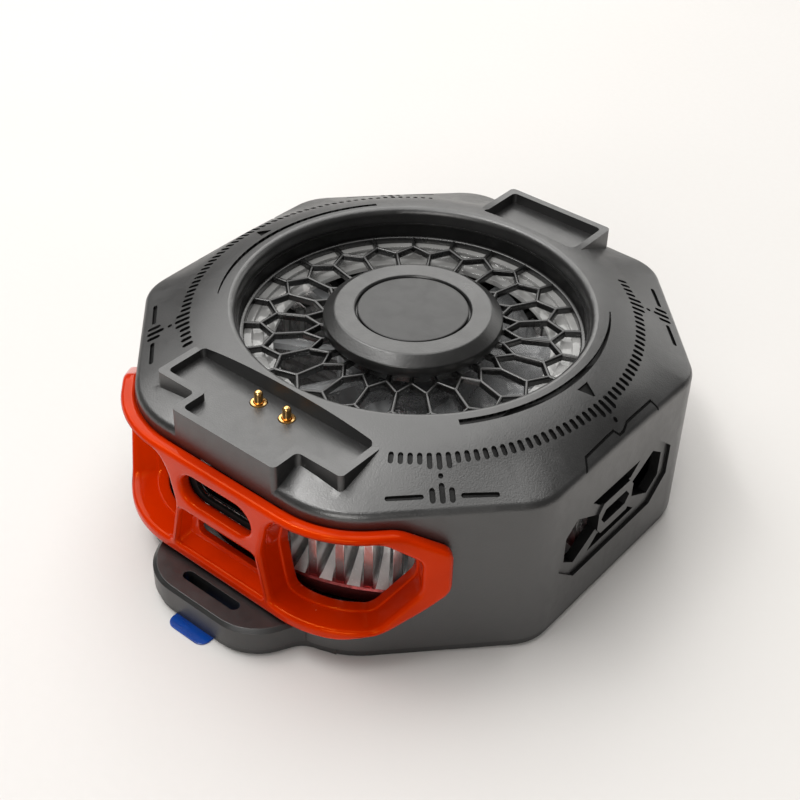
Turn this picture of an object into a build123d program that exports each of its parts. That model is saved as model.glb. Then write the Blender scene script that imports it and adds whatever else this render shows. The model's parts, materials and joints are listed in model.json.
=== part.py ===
from build123d import *
from math import cos, radians, sin, sqrt, tan
import os

# Clip-on cooling fan for a phone, in millimetres.
# The origin is the centre of the cooling face, +Z points up through the intake,
# -Y is the front with the socket and +X is the right side.

# Body, seen from above
body_half_width = 30.0
body_extra_length = 1.4
front_side_share = 0.47
flank_side_share = 0.4867
front_corner_radius = 12.0
flank_corner_radius = 6.0
wall = 1.6
deck_wall = 1.5

# Fits
seat_gap = 0.05
slip_gap = 0.15
running_gap = 0.06
overrun = 1.0

# Heights of the stack, from the cooling face up
film_thickness = 0.2
base_thickness = 1.0
base_inset = 0.25
base_bottom_z = film_thickness
base_top_z = base_bottom_z + base_thickness
deck_edge_share = 0.8310
shoulder_share = 0.9225
crown_z = 25.15

# Domed deck
deck_edge_round = 1.1
shoulder_inset = 2.7
dome_middle_inset = 2.7
dome_middle_rise = 1.15
crown_width = 1.15
rim_round = 0.8
rim_wall_depth = 2.0
rim_step = 0.3

# Round well with the ledge that carries the shroud and the grille
well_share = 0.6783
well_wall = 1.5
ledge_width = 0.6
ledge_thickness = 0.8
grille_top_share = 0.8549
grille_thickness = 0.8
shroud_height = 1.7
shroud_step = 0.5
shroud_shares = [0.929, 0.865, 0.806]

# Front dock, a T-shaped tray with two sprung contacts
front_dock_rim_drop = 1.15
front_dock_depth = 1.0
front_dock_side_inset = 0.6
front_dock_nose_half_width = 7.5
front_dock_nose_length = 3.5
front_dock_length = 9.7
dock_wall = 0.9
dock_round = 0.6
dock_root_depth = 4.5

# Rear dock, a plain tray
rear_dock_rim_drop = 0.85
rear_dock_depth = 1.4
rear_dock_half_width = 7.7
rear_dock_inset = 1.1
rear_dock_length = 7.9

# Side vents
vent_centre_share = 0.4254
vent_recess = 0.4
vent_ring_rise = 0.25
vent_side_inset = 3.5
vent_frame_half_height = 4.85
vent_frame_top_share = 0.712
vent_inner_share = 0.315
vent_outer_share = 0.874
vent_tip_share = 0.689
vent_bar_share = 0.432
vent_bar_root_share = 0.279
vent_ring_share = 0.261
vent_ring_flat_share = 0.189
vent_frame_waist = 2.1
vent_inner_rise = 1.05
vent_outer_rise = 1.7
vent_tip_rise = 3.2
vent_bar_outer_rise = 3.6
vent_bar_inner_rise = 2.2
vent_ring_half_height = 1.0

# Orange bezel
bezel_proud = 1.7
bezel_bottom_share = 0.1710
bezel_top_share = 0.7714
bezel_sink_gap = 1.9
bezel_lap = 0.9
bezel_run = 4.0
bezel_end_s = 13.3
bezel_end_top_share = 0.6521
bezel_end_bottom_share = 0.4334
bezel_slope_top_s = 7.7
bezel_slope_low_s = 10.6
bezel_slope_low_share = 0.3380
bezel_foot_s = 6.2
bezel_foot_share = 0.2107
bezel_heel_s = 1.5
window_top_share = 0.7217
window_bottom_share = 0.2425
window_end_s = 9.9
window_end_top_share = 0.6123
window_end_bottom_share = 0.4453
window_slope_top_s = 5.9
window_slope_bottom_s = 5.4
window_top_x = 8.7
window_shoulder_x = 7.5
window_shoulder_share = 0.6600
window_waist_x = 6.5
window_waist_share = 0.4930
window_knee_x = 7.3
window_knee_share = 0.3260
window_bottom_x = 7.8
lower_window_top_share = 0.4692
lower_window_bottom_share = 0.2386
lower_window_top_half_width = 5.55
lower_window_bottom_half_width = 6.8
lower_slot_top_share = 0.4533
lower_slot_bottom_share = 0.3101
lower_slot_half_width = 5.0
socket_share = 0.6163
socket_slot_width = 10.4
socket_slot_height = 4.1

# Front tab of the base
tab_length = 5.8
tab_top_z = 4.0
tab_corner_share = 0.56
tab_corner_round_share = 0.454
tab_root_share = 0.773
tab_root_depth = 0.2
tab_root_round_share = 0.213
tab_skirt_share = 1.028
tab_skirt_depth = 1.5
tab_edge_round = 0.4
tab_slot_length = 8.4
tab_slot_width = 1.3
tab_slot_offset = 3.0

# Cooling stack
cold_plate_top_z = 1.3
cold_plate_inset = 0.52
pad_inset = 0.4
pad_thickness = 0.5
peltier_share = 0.8333
ceramic_thickness = 0.5
pellet_count = 8
pellet_margin = 1.2
pellet_share = 0.45
gasket_width = 0.8
film_tab_x = -0.3
film_tab_width = 5.8
film_tab_length = 7.3
film_tab_root_depth = 6.4
film_tab_round = 1.2
magnet_inner_share = 0.8071
magnet_inset = 0.6
magnet_thickness = 1.2
shield_thickness = 0.4
sink_bottom_z = 3.6
sink_side_gap = 2.0
sink_thickness = 2.0
fin_pair_count = 54
fin_edge_inset = 0.4
fin_share = 0.782
fin_top_share = 0.4771
fin_width = 1.1
low_fin_share = 0.4286
low_fin_height = 2.0
slant_fin_foot_width = 1.4
slant_fin_head_width = 0.7
slant_fin_slope = 2.4
sink_boss_radius = 1.1
sink_boss_gap = 0.13
sink_screw_count = 4
sink_screw_radius = 0.5
sink_screw_head_radius = 1.0
sink_screw_head_height = 0.6
sink_screw_clearance_radius = 1.5
sink_screw_length = 3.2
boss_angle = 45.0

# Cover screws and posts
post_radius = 1.7
post_offset = 0.2
front_post_angle = -25.9
rear_post_angle = 66.0
cover_screw_radius = 0.5
cover_screw_length = 6.0
cover_screw_head_radius = 1.1
cover_screw_head_height = 0.6

# Intake grille, a ring of long cells between zigzag ribs
cell_count = 24
first_spoke_angle = 8.8
grille_rim_width = 0.5
rib_width = 0.5
cell_tip_share = 0.88
cell_outer_shoulder_share = 0.801
cell_inner_shoulder_share = 0.629
cell_root_share = 0.536
grille_hub_share = 0.4815

# Hub cap
cap_foot_share = 0.4915
cap_share = 0.519
cap_top_share = 0.452
cap_disc_share = 0.3312
cap_pin_share = 0.295
cap_foot_height = 0.5
cap_side_height = 1.2
cap_height = 2.7
cap_disc_depth = 0.7
cap_disc_sink = 0.15
cap_pin_radius = 0.75
cap_pin_count = 3

# Fan and motor
fan_tip_gap = 1.15
fan_hub_share = 0.4423
fan_hub_top_share = 0.7157
fan_hub_wall = 0.85
fan_hub_bottom_share = 0.3897
fan_hub_edge_round = 0.8
blade_count = 9
blade_middle_share = 0.5924
blade_root_chord = 7.4
blade_tip_chord = 10.6
blade_root_pitch = 44.0
blade_tip_pitch = 30.0
blade_thickness = 0.7
blade_camber = 0.9
blade_root_depth = 0.6
yoke_thickness = 0.4
yoke_bottom_share = 0.3936
yoke_top_share = 0.6044
magnet_ring_thickness = 0.9
rotor_magnet_top_share = 0.5646
air_gap = 0.3
stator_bottom_share = 0.4056
stator_height_share = 0.1272
pole_count = 6
stator_hub_share = 0.504
pole_width_share = 0.2
pole_gap_share = 0.183
pole_shoe_share = 0.107
coil_share = 0.084
coil_inset_share = 0.046
motor_board_inset = 1.0
motor_board_bottom_share = 0.3181
motor_board_thickness = 0.8
bracket_foot_flange = 0.5
bracket_foot_thickness = 0.8
bracket_pillar_radius = 1.0
bracket_pillar_inset = 1.4
bracket_pillar_count = 3
bracket_pillar_angle = 90.0
tube_share = 0.351
tube_top_share = 0.5726
bush_share = 0.2443
bush_rise = 1.4
bush_top_share = 0.5487
shaft_share = 0.1145
shaft_rise = 0.65
clip_share = 0.1985
clip_thickness = 0.25
clip_groove_depth = 0.2

# Electronics under the front dock
board_half_width = 11.8
board_nose_half_width = 6.2
board_front_inset = 2.2
board_shoulder_inset = 4.8
board_back_inset = 10.4
board_thickness = 0.8
socket_shell_width = 8.94
socket_shell_height = 3.26
socket_shell_length = 7.3
socket_shell_wall = 0.3
socket_inset = 0.5
tongue_width = 6.7
tongue_thickness = 0.7
tongue_setback = 0.9
pogo_pitch = 4.16
pogo_inset = 7.7
pogo_ring_radius = 0.95
pogo_ring_height = 0.1
pogo_barrel_radius = 0.85
pogo_bore_radius = 0.6
pogo_floor_thickness = 0.6
pogo_pin_height = 1.6
pogo_pin_radius = 0.5
pogo_mouth_radius = 0.56
pogo_skirt_radius = 0.54
pogo_skirt_height = 1.4
pogo_collar_depth = 1.8
pogo_spring_height = 1.9
pogo_spring_radius = 0.42
pogo_spring_wall = 0.14
pogo_block_half_width = 4.2
pogo_block_front_depth = 1.7
pogo_block_back_depth = 1.4
pogo_block_gap = 0.92
board_post_x = 10.0
board_post_inset = 6.2
board_post_radius = 1.4
board_screw_radius = 0.45
board_screw_length = 3.6
board_screw_head_radius = 0.9
board_screw_head_height = 0.6
pin_tip_share = 0.9
chip_size = 3.0
chip_height = 0.9
chip_x = 6.6
chip_inset = 7.0

# Heights worked out from the sizes above
deck_edge_z = crown_z * deck_edge_share
shoulder_z = crown_z * shoulder_share
grille_top_z = crown_z * grille_top_share
vent_centre_z = crown_z * vent_centre_share
bezel_bottom_z = crown_z * bezel_bottom_share
bezel_top_z = crown_z * bezel_top_share
bezel_end_top_z = crown_z * bezel_end_top_share
bezel_end_bottom_z = crown_z * bezel_end_bottom_share
bezel_slope_low_z = crown_z * bezel_slope_low_share
bezel_foot_z = crown_z * bezel_foot_share
window_top_z = crown_z * window_top_share
window_bottom_z = crown_z * window_bottom_share
window_end_top_z = crown_z * window_end_top_share
window_end_bottom_z = crown_z * window_end_bottom_share
window_shoulder_z = crown_z * window_shoulder_share
window_waist_z = crown_z * window_waist_share
window_knee_z = crown_z * window_knee_share
lower_window_top_z = crown_z * lower_window_top_share
lower_window_bottom_z = crown_z * lower_window_bottom_share
lower_slot_top_z = crown_z * lower_slot_top_share
lower_slot_bottom_z = crown_z * lower_slot_bottom_share
socket_z = crown_z * socket_share
fin_top_z = crown_z * fin_top_share
fan_hub_top_z = crown_z * fan_hub_top_share
fan_hub_bottom_z = crown_z * fan_hub_bottom_share
blade_middle_z = crown_z * blade_middle_share
yoke_bottom_z = crown_z * yoke_bottom_share
yoke_top_z = crown_z * yoke_top_share
rotor_magnet_top_z = crown_z * rotor_magnet_top_share
stator_bottom_z = crown_z * stator_bottom_share
stator_height = crown_z * stator_height_share
motor_board_bottom_z = crown_z * motor_board_bottom_share
tube_top_z = crown_z * tube_top_share
bush_top_z = crown_z * bush_top_share
front_dock_rim_z = crown_z - front_dock_rim_drop
front_dock_floor_z = front_dock_rim_z - front_dock_depth
rear_dock_rim_z = crown_z - rear_dock_rim_drop
rear_dock_floor_z = rear_dock_rim_z - rear_dock_depth
cap_top_z = grille_top_z + cap_height

# Radii and places worked out from the sizes above
body_half_length = body_half_width + body_extra_length
front_half_side = body_half_width * front_side_share
flank_half_side = body_half_width * flank_side_share
well_radius = body_half_width * well_share
shoulder_radius = body_half_width - shoulder_inset
dome_middle_radius = shoulder_radius - dome_middle_inset
crown_radius = well_radius + crown_width
front_dock_half_width = front_half_side - front_dock_side_inset
front_dock_shoulder_y = front_dock_nose_length - body_half_length
front_dock_back_y = front_dock_length - body_half_length
rear_dock_end_y = body_half_length - rear_dock_inset
rear_dock_back_y = rear_dock_end_y - rear_dock_length
vent_frame_half_width = flank_half_side - vent_side_inset
vent_frame_top_half_width = vent_frame_half_width * vent_frame_top_share
vent_inner_y = vent_frame_half_width * vent_inner_share
vent_outer_y = vent_frame_half_width * vent_outer_share
vent_tip_y = vent_frame_half_width * vent_tip_share
vent_bar_half_width = vent_frame_half_width * vent_bar_share
vent_bar_root_half_width = vent_frame_half_width * vent_bar_root_share
vent_ring_half_width = vent_frame_half_width * vent_ring_share
vent_ring_flat_half_width = vent_frame_half_width * vent_ring_flat_share
tab_front_y = -body_half_length - tab_length
tab_slot_y = -body_half_length - tab_slot_offset
tab_corner_half_width = front_half_side * tab_corner_share
tab_corner_round = front_half_side * tab_corner_round_share
tab_root_half_width = front_half_side * tab_root_share
tab_root_y = tab_root_depth - body_half_length
tab_root_round = front_half_side * tab_root_round_share
tab_skirt_half_width = front_half_side * tab_skirt_share
tab_skirt_y = tab_skirt_depth - body_half_length
sink_radius = body_half_width - sink_side_gap
bezel_inner_radius = sink_radius + bezel_sink_gap
fin_outer_radius = sink_radius - fin_edge_inset
fin_inner_radius = sink_radius * fin_share
low_fin_inner_radius = sink_radius * low_fin_share
slant_fin_head_radius = fin_outer_radius - slant_fin_slope
pad_outer_radius = sink_radius - pad_inset
peltier_size = body_half_width * peltier_share
pellet_spacing = (peltier_size - pellet_margin) / pellet_count
pellet_size = pellet_spacing * pellet_share
gasket_corner_radius = (peltier_size / 2 + gasket_width) * sqrt(2)
cold_plate_radius = gasket_corner_radius - cold_plate_inset
sink_boss_circle_radius = gasket_corner_radius + sink_boss_radius + sink_boss_gap
magnet_inner_radius = sink_radius * magnet_inner_share
magnet_outer_radius = sink_radius - magnet_inset
film_tab_end_y = -body_half_length - film_tab_length
film_tab_root_y = film_tab_root_depth - body_half_length
post_circle_radius = body_half_width + post_offset
cell_tip_radius = well_radius * cell_tip_share
cell_outer_shoulder_radius = well_radius * cell_outer_shoulder_share
cell_inner_shoulder_radius = well_radius * cell_inner_shoulder_share
cell_root_radius = well_radius * cell_root_share
grille_hub_radius = well_radius * grille_hub_share
shroud_radii = [well_radius * share for share in shroud_shares]
cap_foot_radius = well_radius * cap_foot_share
cap_radius = well_radius * cap_share
cap_top_radius = well_radius * cap_top_share
cap_disc_radius = well_radius * cap_disc_share
cap_pin_circle_radius = well_radius * cap_pin_share
fan_tip_radius = well_radius - ledge_width - fan_tip_gap
fan_hub_radius = well_radius * fan_hub_share
motor_board_radius = fan_hub_radius - motor_board_inset
bracket_foot_radius = fan_hub_radius + bracket_foot_flange
bracket_pillar_circle_radius = motor_board_radius - bracket_pillar_inset
board_front_y = board_front_inset - body_half_length
board_shoulder_y = board_shoulder_inset - body_half_length
board_back_y = board_back_inset - body_half_length
board_post_y = board_post_inset - body_half_length
socket_front_y = socket_inset - body_half_length
chip_y = chip_inset - body_half_length
pogo_y = pogo_inset - body_half_length
pogo_block_front_y = pogo_y - pogo_block_front_depth
pogo_block_back_y = pogo_y + pogo_block_back_depth
shroud_top_z = grille_top_z - grille_thickness
shroud_bottom_z = shroud_top_z - shroud_height
ledge_bottom_z = shroud_bottom_z - ledge_thickness
sink_top_z = sink_bottom_z + sink_thickness
bush_bottom_z = sink_top_z + bush_rise
shaft_bottom_z = sink_top_z + shaft_rise
pad_top_z = base_bottom_z + pad_thickness
cold_ceramic_top_z = cold_plate_top_z + ceramic_thickness
hot_ceramic_bottom_z = sink_bottom_z - ceramic_thickness
board_top_z = socket_z - socket_shell_height / 2
board_bottom_z = board_top_z - board_thickness
pogo_block_bottom_z = socket_z + socket_shell_height / 2 + seat_gap
pogo_ring_top_z = front_dock_floor_z + pogo_ring_height
pogo_block_height = pogo_ring_top_z - pogo_collar_depth - pogo_block_gap - pogo_block_bottom_z
pogo_bore_bottom_z = pogo_block_bottom_z + pogo_floor_thickness
pogo_pin_top_z = front_dock_floor_z + pogo_pin_height
pogo_pin_bottom_z = pogo_bore_bottom_z + pogo_spring_height
yoke_outer_radius = fan_hub_radius - fan_hub_wall
yoke_inner_radius = yoke_outer_radius - yoke_thickness
rotor_magnet_inner_radius = yoke_inner_radius - magnet_ring_thickness
stator_radius = rotor_magnet_inner_radius - air_gap
stator_hub_radius = stator_radius * stator_hub_share
pole_width = stator_radius * pole_width_share
pole_gap = stator_radius * pole_gap_share
pole_shoe_thickness = stator_radius * pole_shoe_share
coil_thickness = stator_radius * coil_share
coil_inset = stator_radius * coil_inset_share
tube_outer_radius = stator_radius * tube_share
bush_outer_radius = stator_radius * bush_share
shaft_radius = stator_radius * shaft_share
clip_radius = stator_radius * clip_share
pogo_places = [(-pogo_pitch / 2, pogo_y), (pogo_pitch / 2, pogo_y)]
board_posts = [(-board_post_x, board_post_y), (board_post_x, board_post_y)]

body_corners = [
    (front_half_side, -body_half_length, front_corner_radius),
    (body_half_width, -flank_half_side, flank_corner_radius),
    (body_half_width, flank_half_side, flank_corner_radius),
    (front_half_side, body_half_length, flank_corner_radius),
    (-front_half_side, body_half_length, flank_corner_radius),
    (-body_half_width, flank_half_side, flank_corner_radius),
    (-body_half_width, -flank_half_side, flank_corner_radius),
    (-front_half_side, -body_half_length, front_corner_radius),
]

# The slanting front-right side carries the right end of the bezel
slant_start = Vector(front_half_side, -body_half_length)
slant_end = Vector(body_half_width, -flank_half_side)
slant_along = (slant_end - slant_start).normalized()
slant_out = Vector(slant_along.Y, -slant_along.X)
slant_plane = Plane(origin=slant_start, x_dir=slant_along, z_dir=slant_out)
front_plane = Plane(origin=(0, -body_half_length, 0), x_dir=(1, 0, 0), z_dir=(0, -1, 0))
right_plane = Plane(origin=(body_half_width, 0, 0), x_dir=(0, 1, 0), z_dir=(1, 0, 0))
left_plane = Plane(origin=(-body_half_width, 0, 0), x_dir=(0, -1, 0), z_dir=(-1, 0, 0))


def polar(radius, angle):
    """Point at a radius and an angle in degrees."""
    return (radius * cos(radians(angle)), radius * sin(radians(angle)))


def corner_arcs(grow):
    """Start, middle and end of each rounded corner of the body, moved out by grow."""
    arcs = []
    for index, (x, y, radius) in enumerate(body_corners):
        here = Vector(x, y)
        following = body_corners[(index + 1) % len(body_corners)]
        before = (here - Vector(*body_corners[index - 1][:2])).normalized()
        after = (Vector(*following[:2]) - here).normalized()
        half_turn = radians(before.get_angle(after)) / 2
        outward = (before - after).normalized()
        moved = here + outward * (grow / cos(half_turn))
        grown_radius = radius + grow
        reach = grown_radius * tan(half_turn)
        centre = moved - outward * (grown_radius / cos(half_turn))
        arcs.append((moved - before * reach, centre + outward * grown_radius, moved + after * reach))
    return arcs


def body_outline(grow=0.0):
    """Face of the rounded eight-sided plan, moved out by grow."""
    arcs = corner_arcs(grow)
    with BuildSketch() as face:
        with BuildLine():
            for index, (start, middle, end) in enumerate(arcs):
                ThreePointArc(start, middle, end)
                Line(end, arcs[(index + 1) % len(arcs)][0])
        make_face()
    return face.sketch


def outline(points, grow=0.0):
    """Closed face through the points, moved out by grow with sharp corners."""
    with BuildSketch() as face:
        with BuildLine():
            Polyline(*points, close=True)
        make_face()
        if grow:
            offset(amount=grow, kind=Kind.INTERSECTION)
    return face.sketch


def mirrored(points):
    """The points on the right, followed by their mirror images on the left."""
    return points + [(-x, y) for x, y in reversed(points)]


def soft_outline(points, radius):
    """Closed face through the points with rounded corners."""
    with BuildSketch() as face:
        add(outline(points))
        fillet(face.vertices(), radius)
    return face.sketch


def front_dock_outline(inset):
    """T-shaped plan of the front dock, inside its rim by inset."""
    half = front_dock_half_width - inset
    nose = front_dock_nose_half_width - inset
    return soft_outline(mirrored([
        (nose, -body_half_length + inset),
        (nose, front_dock_shoulder_y + inset),
        (half, front_dock_shoulder_y + inset),
        (half, front_dock_back_y),
    ]), dock_round)


def rear_dock_outline(inset):
    """Plan of the rear dock, inside its rim by inset."""
    half = rear_dock_half_width - inset
    return soft_outline(mirrored([
        (half, rear_dock_back_y),
        (half, rear_dock_end_y - inset),
    ]), dock_round)


def vent_link_outline(grow=0.0):
    """Six-sided link in the middle of a side vent."""
    return outline(mirrored([
        (vent_ring_flat_half_width, vent_centre_z - vent_ring_half_height),
        (vent_ring_half_width, vent_centre_z),
        (vent_ring_flat_half_width, vent_centre_z + vent_ring_half_height),
    ]), grow)


def tab_outline(grow=0.0):
    """Plan of the front tab, which flows out of the body on both sides."""
    with BuildSketch() as face:
        add(outline(mirrored([
            (tab_corner_half_width + grow, tab_front_y - grow),
            (tab_root_half_width + grow, tab_root_y),
            (tab_skirt_half_width, tab_skirt_y),
        ])))
        fillet(face.vertices().group_by(Axis.Y)[0], tab_corner_round)
        fillet(face.vertices().filter_by_position(Axis.Y, tab_root_y, tab_root_y), tab_root_round)
    return face.sketch


def side_window_front(grow=0.0):
    """Part of the right window that lies on the front side, up to past the corner."""
    return outline([
        (front_half_side + overrun, window_bottom_z),
        (front_half_side + overrun, window_top_z),
        (window_top_x, window_top_z),
        (window_shoulder_x, window_shoulder_z),
        (window_waist_x, window_waist_z),
        (window_knee_x, window_knee_z),
        (window_bottom_x, window_bottom_z),
    ], grow)


def side_window_slant(grow=0.0):
    """Part of the right window that lies on the slanting side."""
    return outline([
        (-bezel_run, window_bottom_z),
        (window_slope_bottom_s, window_bottom_z),
        (window_end_s, window_end_bottom_z),
        (window_end_s, window_end_top_z),
        (window_slope_top_s, window_top_z),
        (-bezel_run, window_top_z),
    ], grow)


def bezel_core_front(grow=0.0):
    """Middle of the bezel, which fills the opening of the cover on the front side."""
    half = front_half_side + overrun
    low = window_bottom_z - bezel_lap
    high = window_top_z + bezel_lap
    return outline([(-half, low), (half, low), (half, high), (-half, high)], grow)


def bezel_opening(grow):
    """Solid that the cover gives way to, for the part of the bezel inside its wall."""
    with BuildPart() as cutter:
        with BuildSketch(slant_plane.offset(bezel_proud + overrun)):
            add(side_window_slant(bezel_lap + grow))
        extrude(amount=-(bezel_proud + overrun + wall + bezel_run))
        mirror(about=Plane.YZ)
        with BuildSketch(front_plane.offset(bezel_proud + overrun)):
            add(bezel_core_front(grow))
        extrude(amount=-(bezel_proud + overrun + wall + bezel_run))
    return cutter.part


def bezel_silhouette():
    """Solid whose section with the band gives the bezel its slanted ends."""
    with BuildPart() as shape:
        with BuildSketch(front_plane.offset(-wall - bezel_run)):
            with Locations((0, (bezel_bottom_z + bezel_top_z) / 2)):
                Rectangle(2 * front_half_side, bezel_top_z - bezel_bottom_z)
        extrude(amount=wall + bezel_run + bezel_proud + overrun)
        with BuildSketch(slant_plane.offset(-wall - bezel_run)):
            add(outline([
                (-bezel_run, bezel_bottom_z),
                (bezel_heel_s, bezel_bottom_z),
                (bezel_foot_s, bezel_foot_z),
                (bezel_slope_low_s, bezel_slope_low_z),
                (bezel_end_s, bezel_end_bottom_z),
                (bezel_end_s, bezel_end_top_z),
                (bezel_slope_top_s, bezel_top_z),
                (-bezel_run, bezel_top_z),
            ]))
        extrude(amount=wall + bezel_run + bezel_proud + overrun)
        mirror(about=Plane.YZ)
    return shape.part


def side_windows():
    """Cutter of both side windows of the bezel."""
    with BuildPart() as cutter:
        with BuildSketch(front_plane.offset(bezel_proud + overrun)):
            add(side_window_front())
        extrude(amount=-(bezel_proud + overrun + front_half_side))
        with BuildSketch(slant_plane.offset(bezel_proud + overrun)):
            add(side_window_slant())
        extrude(amount=-(bezel_proud + overrun + wall + bezel_run))
        mirror(about=Plane.YZ)
    return cutter.part


def blade_section(chord, pitch):
    """Outline of a blade's section, a thin bent strip turned by its pitch."""
    half = chord / 2
    with BuildSketch() as section:
        with BuildLine():
            ThreePointArc((-half, 0), (0, blade_camber), (half, 0))
            Line((half, 0), (half, -blade_thickness))
            ThreePointArc(
                (half, -blade_thickness),
                (0, blade_camber - blade_thickness),
                (-half, -blade_thickness),
            )
            Line((-half, -blade_thickness), (-half, 0))
        make_face()
    return section.sketch.rotate(Axis.Z, pitch)


def blade_solid():
    """One blade from inside the hub's wall to the tip circle, along +X."""
    root_x = fan_hub_radius - blade_root_depth
    with BuildPart() as body:
        with BuildSketch(Plane.YZ.offset(root_x)):
            with Locations((0, blade_middle_z)):
                add(blade_section(blade_root_chord, blade_root_pitch))
        with BuildSketch(Plane.YZ.offset(fan_tip_radius + overrun)):
            with Locations((0, blade_middle_z)):
                add(blade_section(blade_tip_chord, blade_tip_pitch))
        loft(ruled=True)
        with BuildSketch(Plane.XY.offset(fan_hub_bottom_z)):
            Circle(fan_tip_radius)
        extrude(amount=fan_hub_top_z - fan_hub_bottom_z, mode=Mode.INTERSECT)
    return body.part


def ring(outer, inner, bottom, top):
    """Plain ring or, with no inner radius, a disc between two heights."""
    with BuildPart() as body:
        with BuildSketch(Plane.XY.offset(bottom)):
            Circle(outer)
            if inner:
                Circle(inner, mode=Mode.SUBTRACT)
        extrude(amount=top - bottom)
    return body.part


def corner_places(orbit):
    """The four places of the cover's posts."""
    right = [polar(orbit, front_post_angle), polar(orbit, rear_post_angle)]
    return right + [(-x, y) for x, y in right]


def save(builder, name):
    """Label a finished piece and write it."""
    builder.part.label = name
    export_step(builder.part, f"parts/{name}.step")


os.makedirs("parts", exist_ok=True)

# Black cover: eight-sided wall under a domed deck with two docks
with BuildPart() as top_cover:
    with BuildSketch(Plane.XY.offset(base_top_z)):
        add(body_outline())
    extrude(amount=deck_edge_z - base_top_z)
    with BuildSketch(Plane.XY.offset(deck_edge_z)):
        add(body_outline())
    with BuildSketch(Plane.XY.offset(shoulder_z)):
        Circle(shoulder_radius)
    loft(ruled=True)
    deck_edges = top_cover.edges().filter_by_position(Axis.Z, deck_edge_z, deck_edge_z)
    fillet(deck_edges, deck_edge_round)
    with BuildSketch(Plane.XZ):
        with BuildLine():
            ThreePointArc(
                (shoulder_radius, shoulder_z),
                (dome_middle_radius, shoulder_z + dome_middle_rise),
                (crown_radius, crown_z),
            )
            Polyline((crown_radius, crown_z), (0, crown_z), (0, shoulder_z), (shoulder_radius, shoulder_z))
        make_face()
    revolve(axis=Axis.Z)
    # Docks stand up from the deck
    with BuildSketch(Plane.XY.offset(front_dock_rim_z)):
        add(front_dock_outline(0))
    extrude(amount=-dock_root_depth)
    with BuildSketch(Plane.XY.offset(rear_dock_rim_z)):
        add(rear_dock_outline(0))
    extrude(amount=-dock_root_depth)
    # Hollow inside, then the wall of the well and the posts go back in
    with BuildSketch(Plane.XY.offset(base_top_z)):
        add(body_outline(-wall))
    extrude(amount=deck_edge_z - deck_wall - base_top_z, mode=Mode.SUBTRACT)
    with BuildSketch(Plane.XY.offset(deck_edge_z - deck_wall)):
        add(body_outline(-wall))
    with BuildSketch(Plane.XY.offset(shoulder_z - deck_wall)):
        Circle(shoulder_radius)
    loft(ruled=True, mode=Mode.SUBTRACT)
    with BuildSketch(Plane.XY.offset(ledge_bottom_z)):
        Circle(well_radius + well_wall)
    extrude(amount=shoulder_z - ledge_bottom_z)
    with BuildSketch(Plane.XY.offset(base_top_z)):
        with Locations(*corner_places(post_circle_radius)):
            Circle(post_radius)
    extrude(amount=deck_edge_z - deck_wall / 2 - base_top_z)
    with BuildSketch(Plane.XY.offset(board_top_z)):
        with Locations(*board_posts):
            Circle(board_post_radius)
    extrude(amount=shoulder_z - deck_wall / 2 - board_top_z)
    # Round opening with its ledge, step and soft rim
    with BuildSketch(Plane.XZ):
        with BuildLine():
            Polyline(
                (0, ledge_bottom_z),
                (well_radius - ledge_width, ledge_bottom_z),
                (well_radius - ledge_width, shroud_bottom_z),
                (well_radius, shroud_bottom_z),
                (well_radius, crown_z - rim_wall_depth),
                (well_radius + rim_step, crown_z - rim_wall_depth),
                (well_radius + rim_step, crown_z - rim_round),
            )
            RadiusArc(
                (well_radius + rim_step, crown_z - rim_round),
                (well_radius + rim_step + rim_round, crown_z),
                rim_round,
            )
            Polyline((well_radius + rim_step + rim_round, crown_z), (0, crown_z), (0, ledge_bottom_z))
        make_face()
    revolve(axis=Axis.Z, mode=Mode.SUBTRACT)
    # Trays of the docks
    with BuildSketch(Plane.XY.offset(front_dock_floor_z)):
        add(front_dock_outline(dock_wall))
    extrude(amount=crown_z - front_dock_floor_z, mode=Mode.SUBTRACT)
    with BuildSketch(Plane.XY.offset(rear_dock_floor_z)):
        add(rear_dock_outline(dock_wall))
    extrude(amount=crown_z - rear_dock_floor_z, mode=Mode.SUBTRACT)
    # Opening for the bezel
    add(bezel_opening(slip_gap), mode=Mode.SUBTRACT)
    # Side vents, a sunk panel with five openings round a raised link
    for flank in (right_plane, left_plane):
        with BuildSketch(flank):
            add(outline(mirrored([
                (vent_frame_top_half_width, vent_centre_z - vent_frame_half_height),
                (vent_frame_half_width, vent_centre_z - vent_frame_waist),
                (vent_frame_half_width, vent_centre_z + vent_frame_waist),
                (vent_frame_top_half_width, vent_centre_z + vent_frame_half_height),
            ])))
        extrude(amount=-vent_recess, mode=Mode.SUBTRACT)
        with BuildSketch(flank.offset(-vent_recess)):
            add(vent_link_outline(vent_bar_inner_rise - vent_ring_half_height))
        extrude(amount=vent_ring_rise)
        with BuildSketch(flank):
            add(outline([
                (vent_inner_y, vent_centre_z - vent_inner_rise),
                (vent_tip_y, vent_centre_z - vent_tip_rise),
                (vent_outer_y, vent_centre_z - vent_outer_rise),
                (vent_outer_y, vent_centre_z + vent_outer_rise),
                (vent_tip_y, vent_centre_z + vent_tip_rise),
                (vent_inner_y, vent_centre_z + vent_inner_rise),
            ]))
            mirror(about=Plane.YZ)
            for side in (-1, 1):
                add(outline(mirrored([
                    (vent_bar_half_width, vent_centre_z + side * vent_bar_outer_rise),
                    (vent_bar_root_half_width, vent_centre_z + side * vent_bar_inner_rise),
                ])))
            add(vent_link_outline())
        extrude(amount=-(wall + overrun), mode=Mode.SUBTRACT)
    # Contacts come up through the floor of the front dock
    with BuildSketch(Plane.XY.offset(front_dock_floor_z)):
        with Locations(*pogo_places):
            Circle(pogo_ring_radius + seat_gap)
    extrude(amount=-dock_root_depth, mode=Mode.SUBTRACT)
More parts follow.
